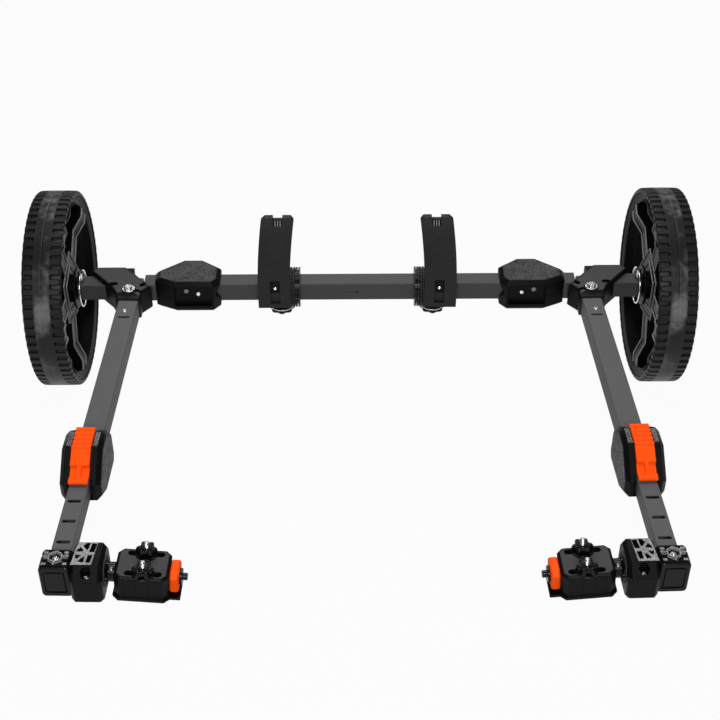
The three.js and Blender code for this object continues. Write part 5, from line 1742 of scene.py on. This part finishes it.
    def build(self) -> None:
        """Builds and dresses both supports."""
        paints, piece = self.bench.paints, self.bench.piece
        for side in Side:
            word = side.word
            x = self.right_x if side is Side.RIGHT else self.left_x
            place = self.plane.deck() @ shift(side.value * x)
            knob_place = place @ shift(-side.value * 10)
            piece(f"support_collar_{word}_form", self.collar(), place, paints.gloss, f"support_{word}",
                  Slot.BLACK, side, edge=0.3)
            piece(f"hull_pad_{word}_form", self.pad(), place, paints.pad, f"pad_{word}", Slot.BLACK, side,
                  edge=0.4)
            piece(f"hull_pad_{word}_seam", self.seam(), place, paints.black, f"pad_{word}", Slot.BLACK,
                  side, edge=0.0)
            piece(f"hull_pad_{word}_screw", self.recess_screw(), place, paints.zinc, f"pad_{word}",
                  Slot.ZINC, side, edge=0.0)
            # The ribs' light grey paints the highlights along them in the dark recess.
            piece(f"hull_pad_{word}_ribs", self.notch_ribs(), place, paints.edge, f"pad_{word}", Slot.BLACK,
                  side, edge=0.0)
            piece(f"support_knob_{word}_washer", self.washer(), knob_place, paints.zinc,
                  f"support_knob_{word}", Slot.ZINC, side, edge=0.0)
            piece(f"support_knob_{word}_form", self.knob(), knob_place, paints.gloss,
                  f"support_knob_{word}", Slot.BLACK, side, edge=0.3)


# Studio


@dataclass
class Studio:
    """Floor, soft lamps, world and the camera at the photograph's angle."""

    plane: Plane
    lens: float = 67.0
    distance: float = 2090.5
    above: float = 114.66
    pitch: float = math.radians(37.24)
    yaw: float = 0.0099
    sensor: float = 36.0
    clip: Pair = (0.05, 60.0)
    floor_size: float = 30.0
    paper_seen: float = 0.96
    sky: float = 0.2

    def camera(self) -> None:
        """Sets the camera from the distance, height and angles of the photograph."""
        level, drop = math.cos(self.pitch), math.sin(self.pitch)
        forward = Vector((self.yaw * level, level, -drop)).normalized()
        right = Vector((1, -self.yaw, 0)).normalized()
        up = right.cross(forward).normalized()
        spot = (-self.distance * forward - self.above * up) * MM
        turn = Matrix((right, up, -forward)).transposed().to_4x4()
        data = bpy.data.cameras.new("photo_camera")
        data.lens = self.lens
        data.sensor_width = self.sensor
        data.clip_start, data.clip_end = self.clip
        item = bpy.data.objects.new("photo_camera", data)
        bpy.context.scene.collection.objects.link(item)
        item.matrix_world = self.plane.deck() @ Matrix.Translation(spot) @ turn
        bpy.context.scene.camera = item

    def lamp(self, name: str, spot: Triple, aim: Triple, size: float, power: float) -> None:
        """Adds a soft square lamp.

        Args:
            name: Its name.
            spot: Where it hangs, in metres.
            aim: What it points at.
            size: Its side.
            power: Its power in watts.
        """
        data = bpy.data.lights.new(name, "AREA")
        data.shape, data.size, data.energy = "SQUARE", size, power
        item = bpy.data.objects.new(name, data)
        bpy.context.scene.collection.objects.link(item)
        item.location = spot
        item.rotation_euler = (Vector(aim) - Vector(spot)).to_track_quat("-Z", "Y").to_euler()

    def floor(self) -> None:
        """Lays the pale floor."""
        half = self.floor_size / 2
        mesh = bpy.data.meshes.new("floor")
        corners = [(-half, -half, 0), (half, -half, 0), (half, half, 0), (-half, half, 0)]
        mesh.from_pydata(corners, [], [(0, 1, 2, 3)])
        item = bpy.data.objects.new("floor", mesh)
        bpy.context.scene.collection.objects.link(item)
        sheet = NodeSheet("floor_paper")
        sheet.dress(Base_Color=sheet.mixed(sheet.noise(6, 2), grey(0.36), grey(0.4)), Roughness=0.95,
                    Specular_IOR_Level=0.0)
        rays = sheet.node("ShaderNodeLightPath").outputs
        seen = Value(sheet, rays["Is Camera Ray"]).most(Value(sheet, rays["Is Glossy Ray"]))
        seen = seen.most(Value(sheet, rays["Is Transmission Ray"]))
        glow = sheet.node("ShaderNodeEmission", inputs={"Color": (1, 1, 1, 1), "Strength": 1.0})
        blend = sheet.node("ShaderNodeMixShader", inputs={
            0: seen * self.paper_seen, 1: sheet.shader.outputs[0], 2: glow.outputs[0],
        })
        output = next(n for n in sheet.tree.nodes if n.bl_idname == "ShaderNodeOutputMaterial")
        sheet.tree.links.new(blend.outputs[0], output.inputs[0])
        mesh.materials.append(sheet.material)

    def build(self) -> None:
        """Sets up the whole studio."""
        self.camera()
        self.floor()
        world = bpy.data.worlds.new("studio")
        bpy.context.scene.world = world
        world.use_nodes = True
        background = world.node_tree.nodes["Background"]
        background.inputs["Color"].default_value = (1, 1, 1, 1)
        background.inputs["Strength"].default_value = self.sky
        self.lamp("top_lamp", (0.0, 0.2, 2.6), (0, 0, 0), size=1.2, power=30)
        self.lamp("back_lamp", (0.0, 2.9, 2.9), (0, 0, 0.1), size=1.6, power=38)
        self.lamp("front_lamp", (0.0, -2.8, 1.7), (0, 0, 0.1), size=1.2, power=66)
        bpy.context.scene.view_settings.view_transform = "Standard"


def build_latches(bench: Bench, plane: Plane) -> None:
    """Builds the two latches of the crossbar and the two of the arms.

    Args:
        bench: Where the pieces are put.
        plane: The places they go.
    """
    latch = Latch(bench)
    bar_start, arm_start = 216, -365
    for side in Side:
        s, word = side.value, side.word
        place = plane.deck() @ basis((s, 0, 0), (0, 1, 0), (s * bar_start, 0, 0))
        names = ("upper", "lower") if s > 0 else ("lower", "upper")
        latch.build("bar", side, place, tip=15.4, names=names, bodies=("crossbar", f"bar_lever_{word}"))
        place = plane.arm(side) @ basis((0, -1, 0), (0, 0, 1), (0, arm_start, 0))
        names = ("inner", "outer") if s > 0 else ("outer", "inner")
        latch.build("arm", side, place, tip=12.9, names=names, bodies=(f"end_{word}", f"arm_lever_{word}"))


def main() -> None:
    """Builds the cart's pieces in order, then the studio."""
    logging.basicConfig(level=logging.INFO, format="%(message)s")
    plane = Plane()
    bench = Bench(Paints.mixed())
    TelescopingTubes(bench, plane).build()
    build_latches(bench, plane)
    CornerBracket(bench, plane).build()
    Wheel(bench, plane).build()
    Knuckle(bench, plane).build()
    TrackBase(bench, plane).build()
    HullSupport(bench, plane).build()
    Studio(plane).build()
    log.info("%d pieces", bench.count)


if __name__ == "__main__":
    main()
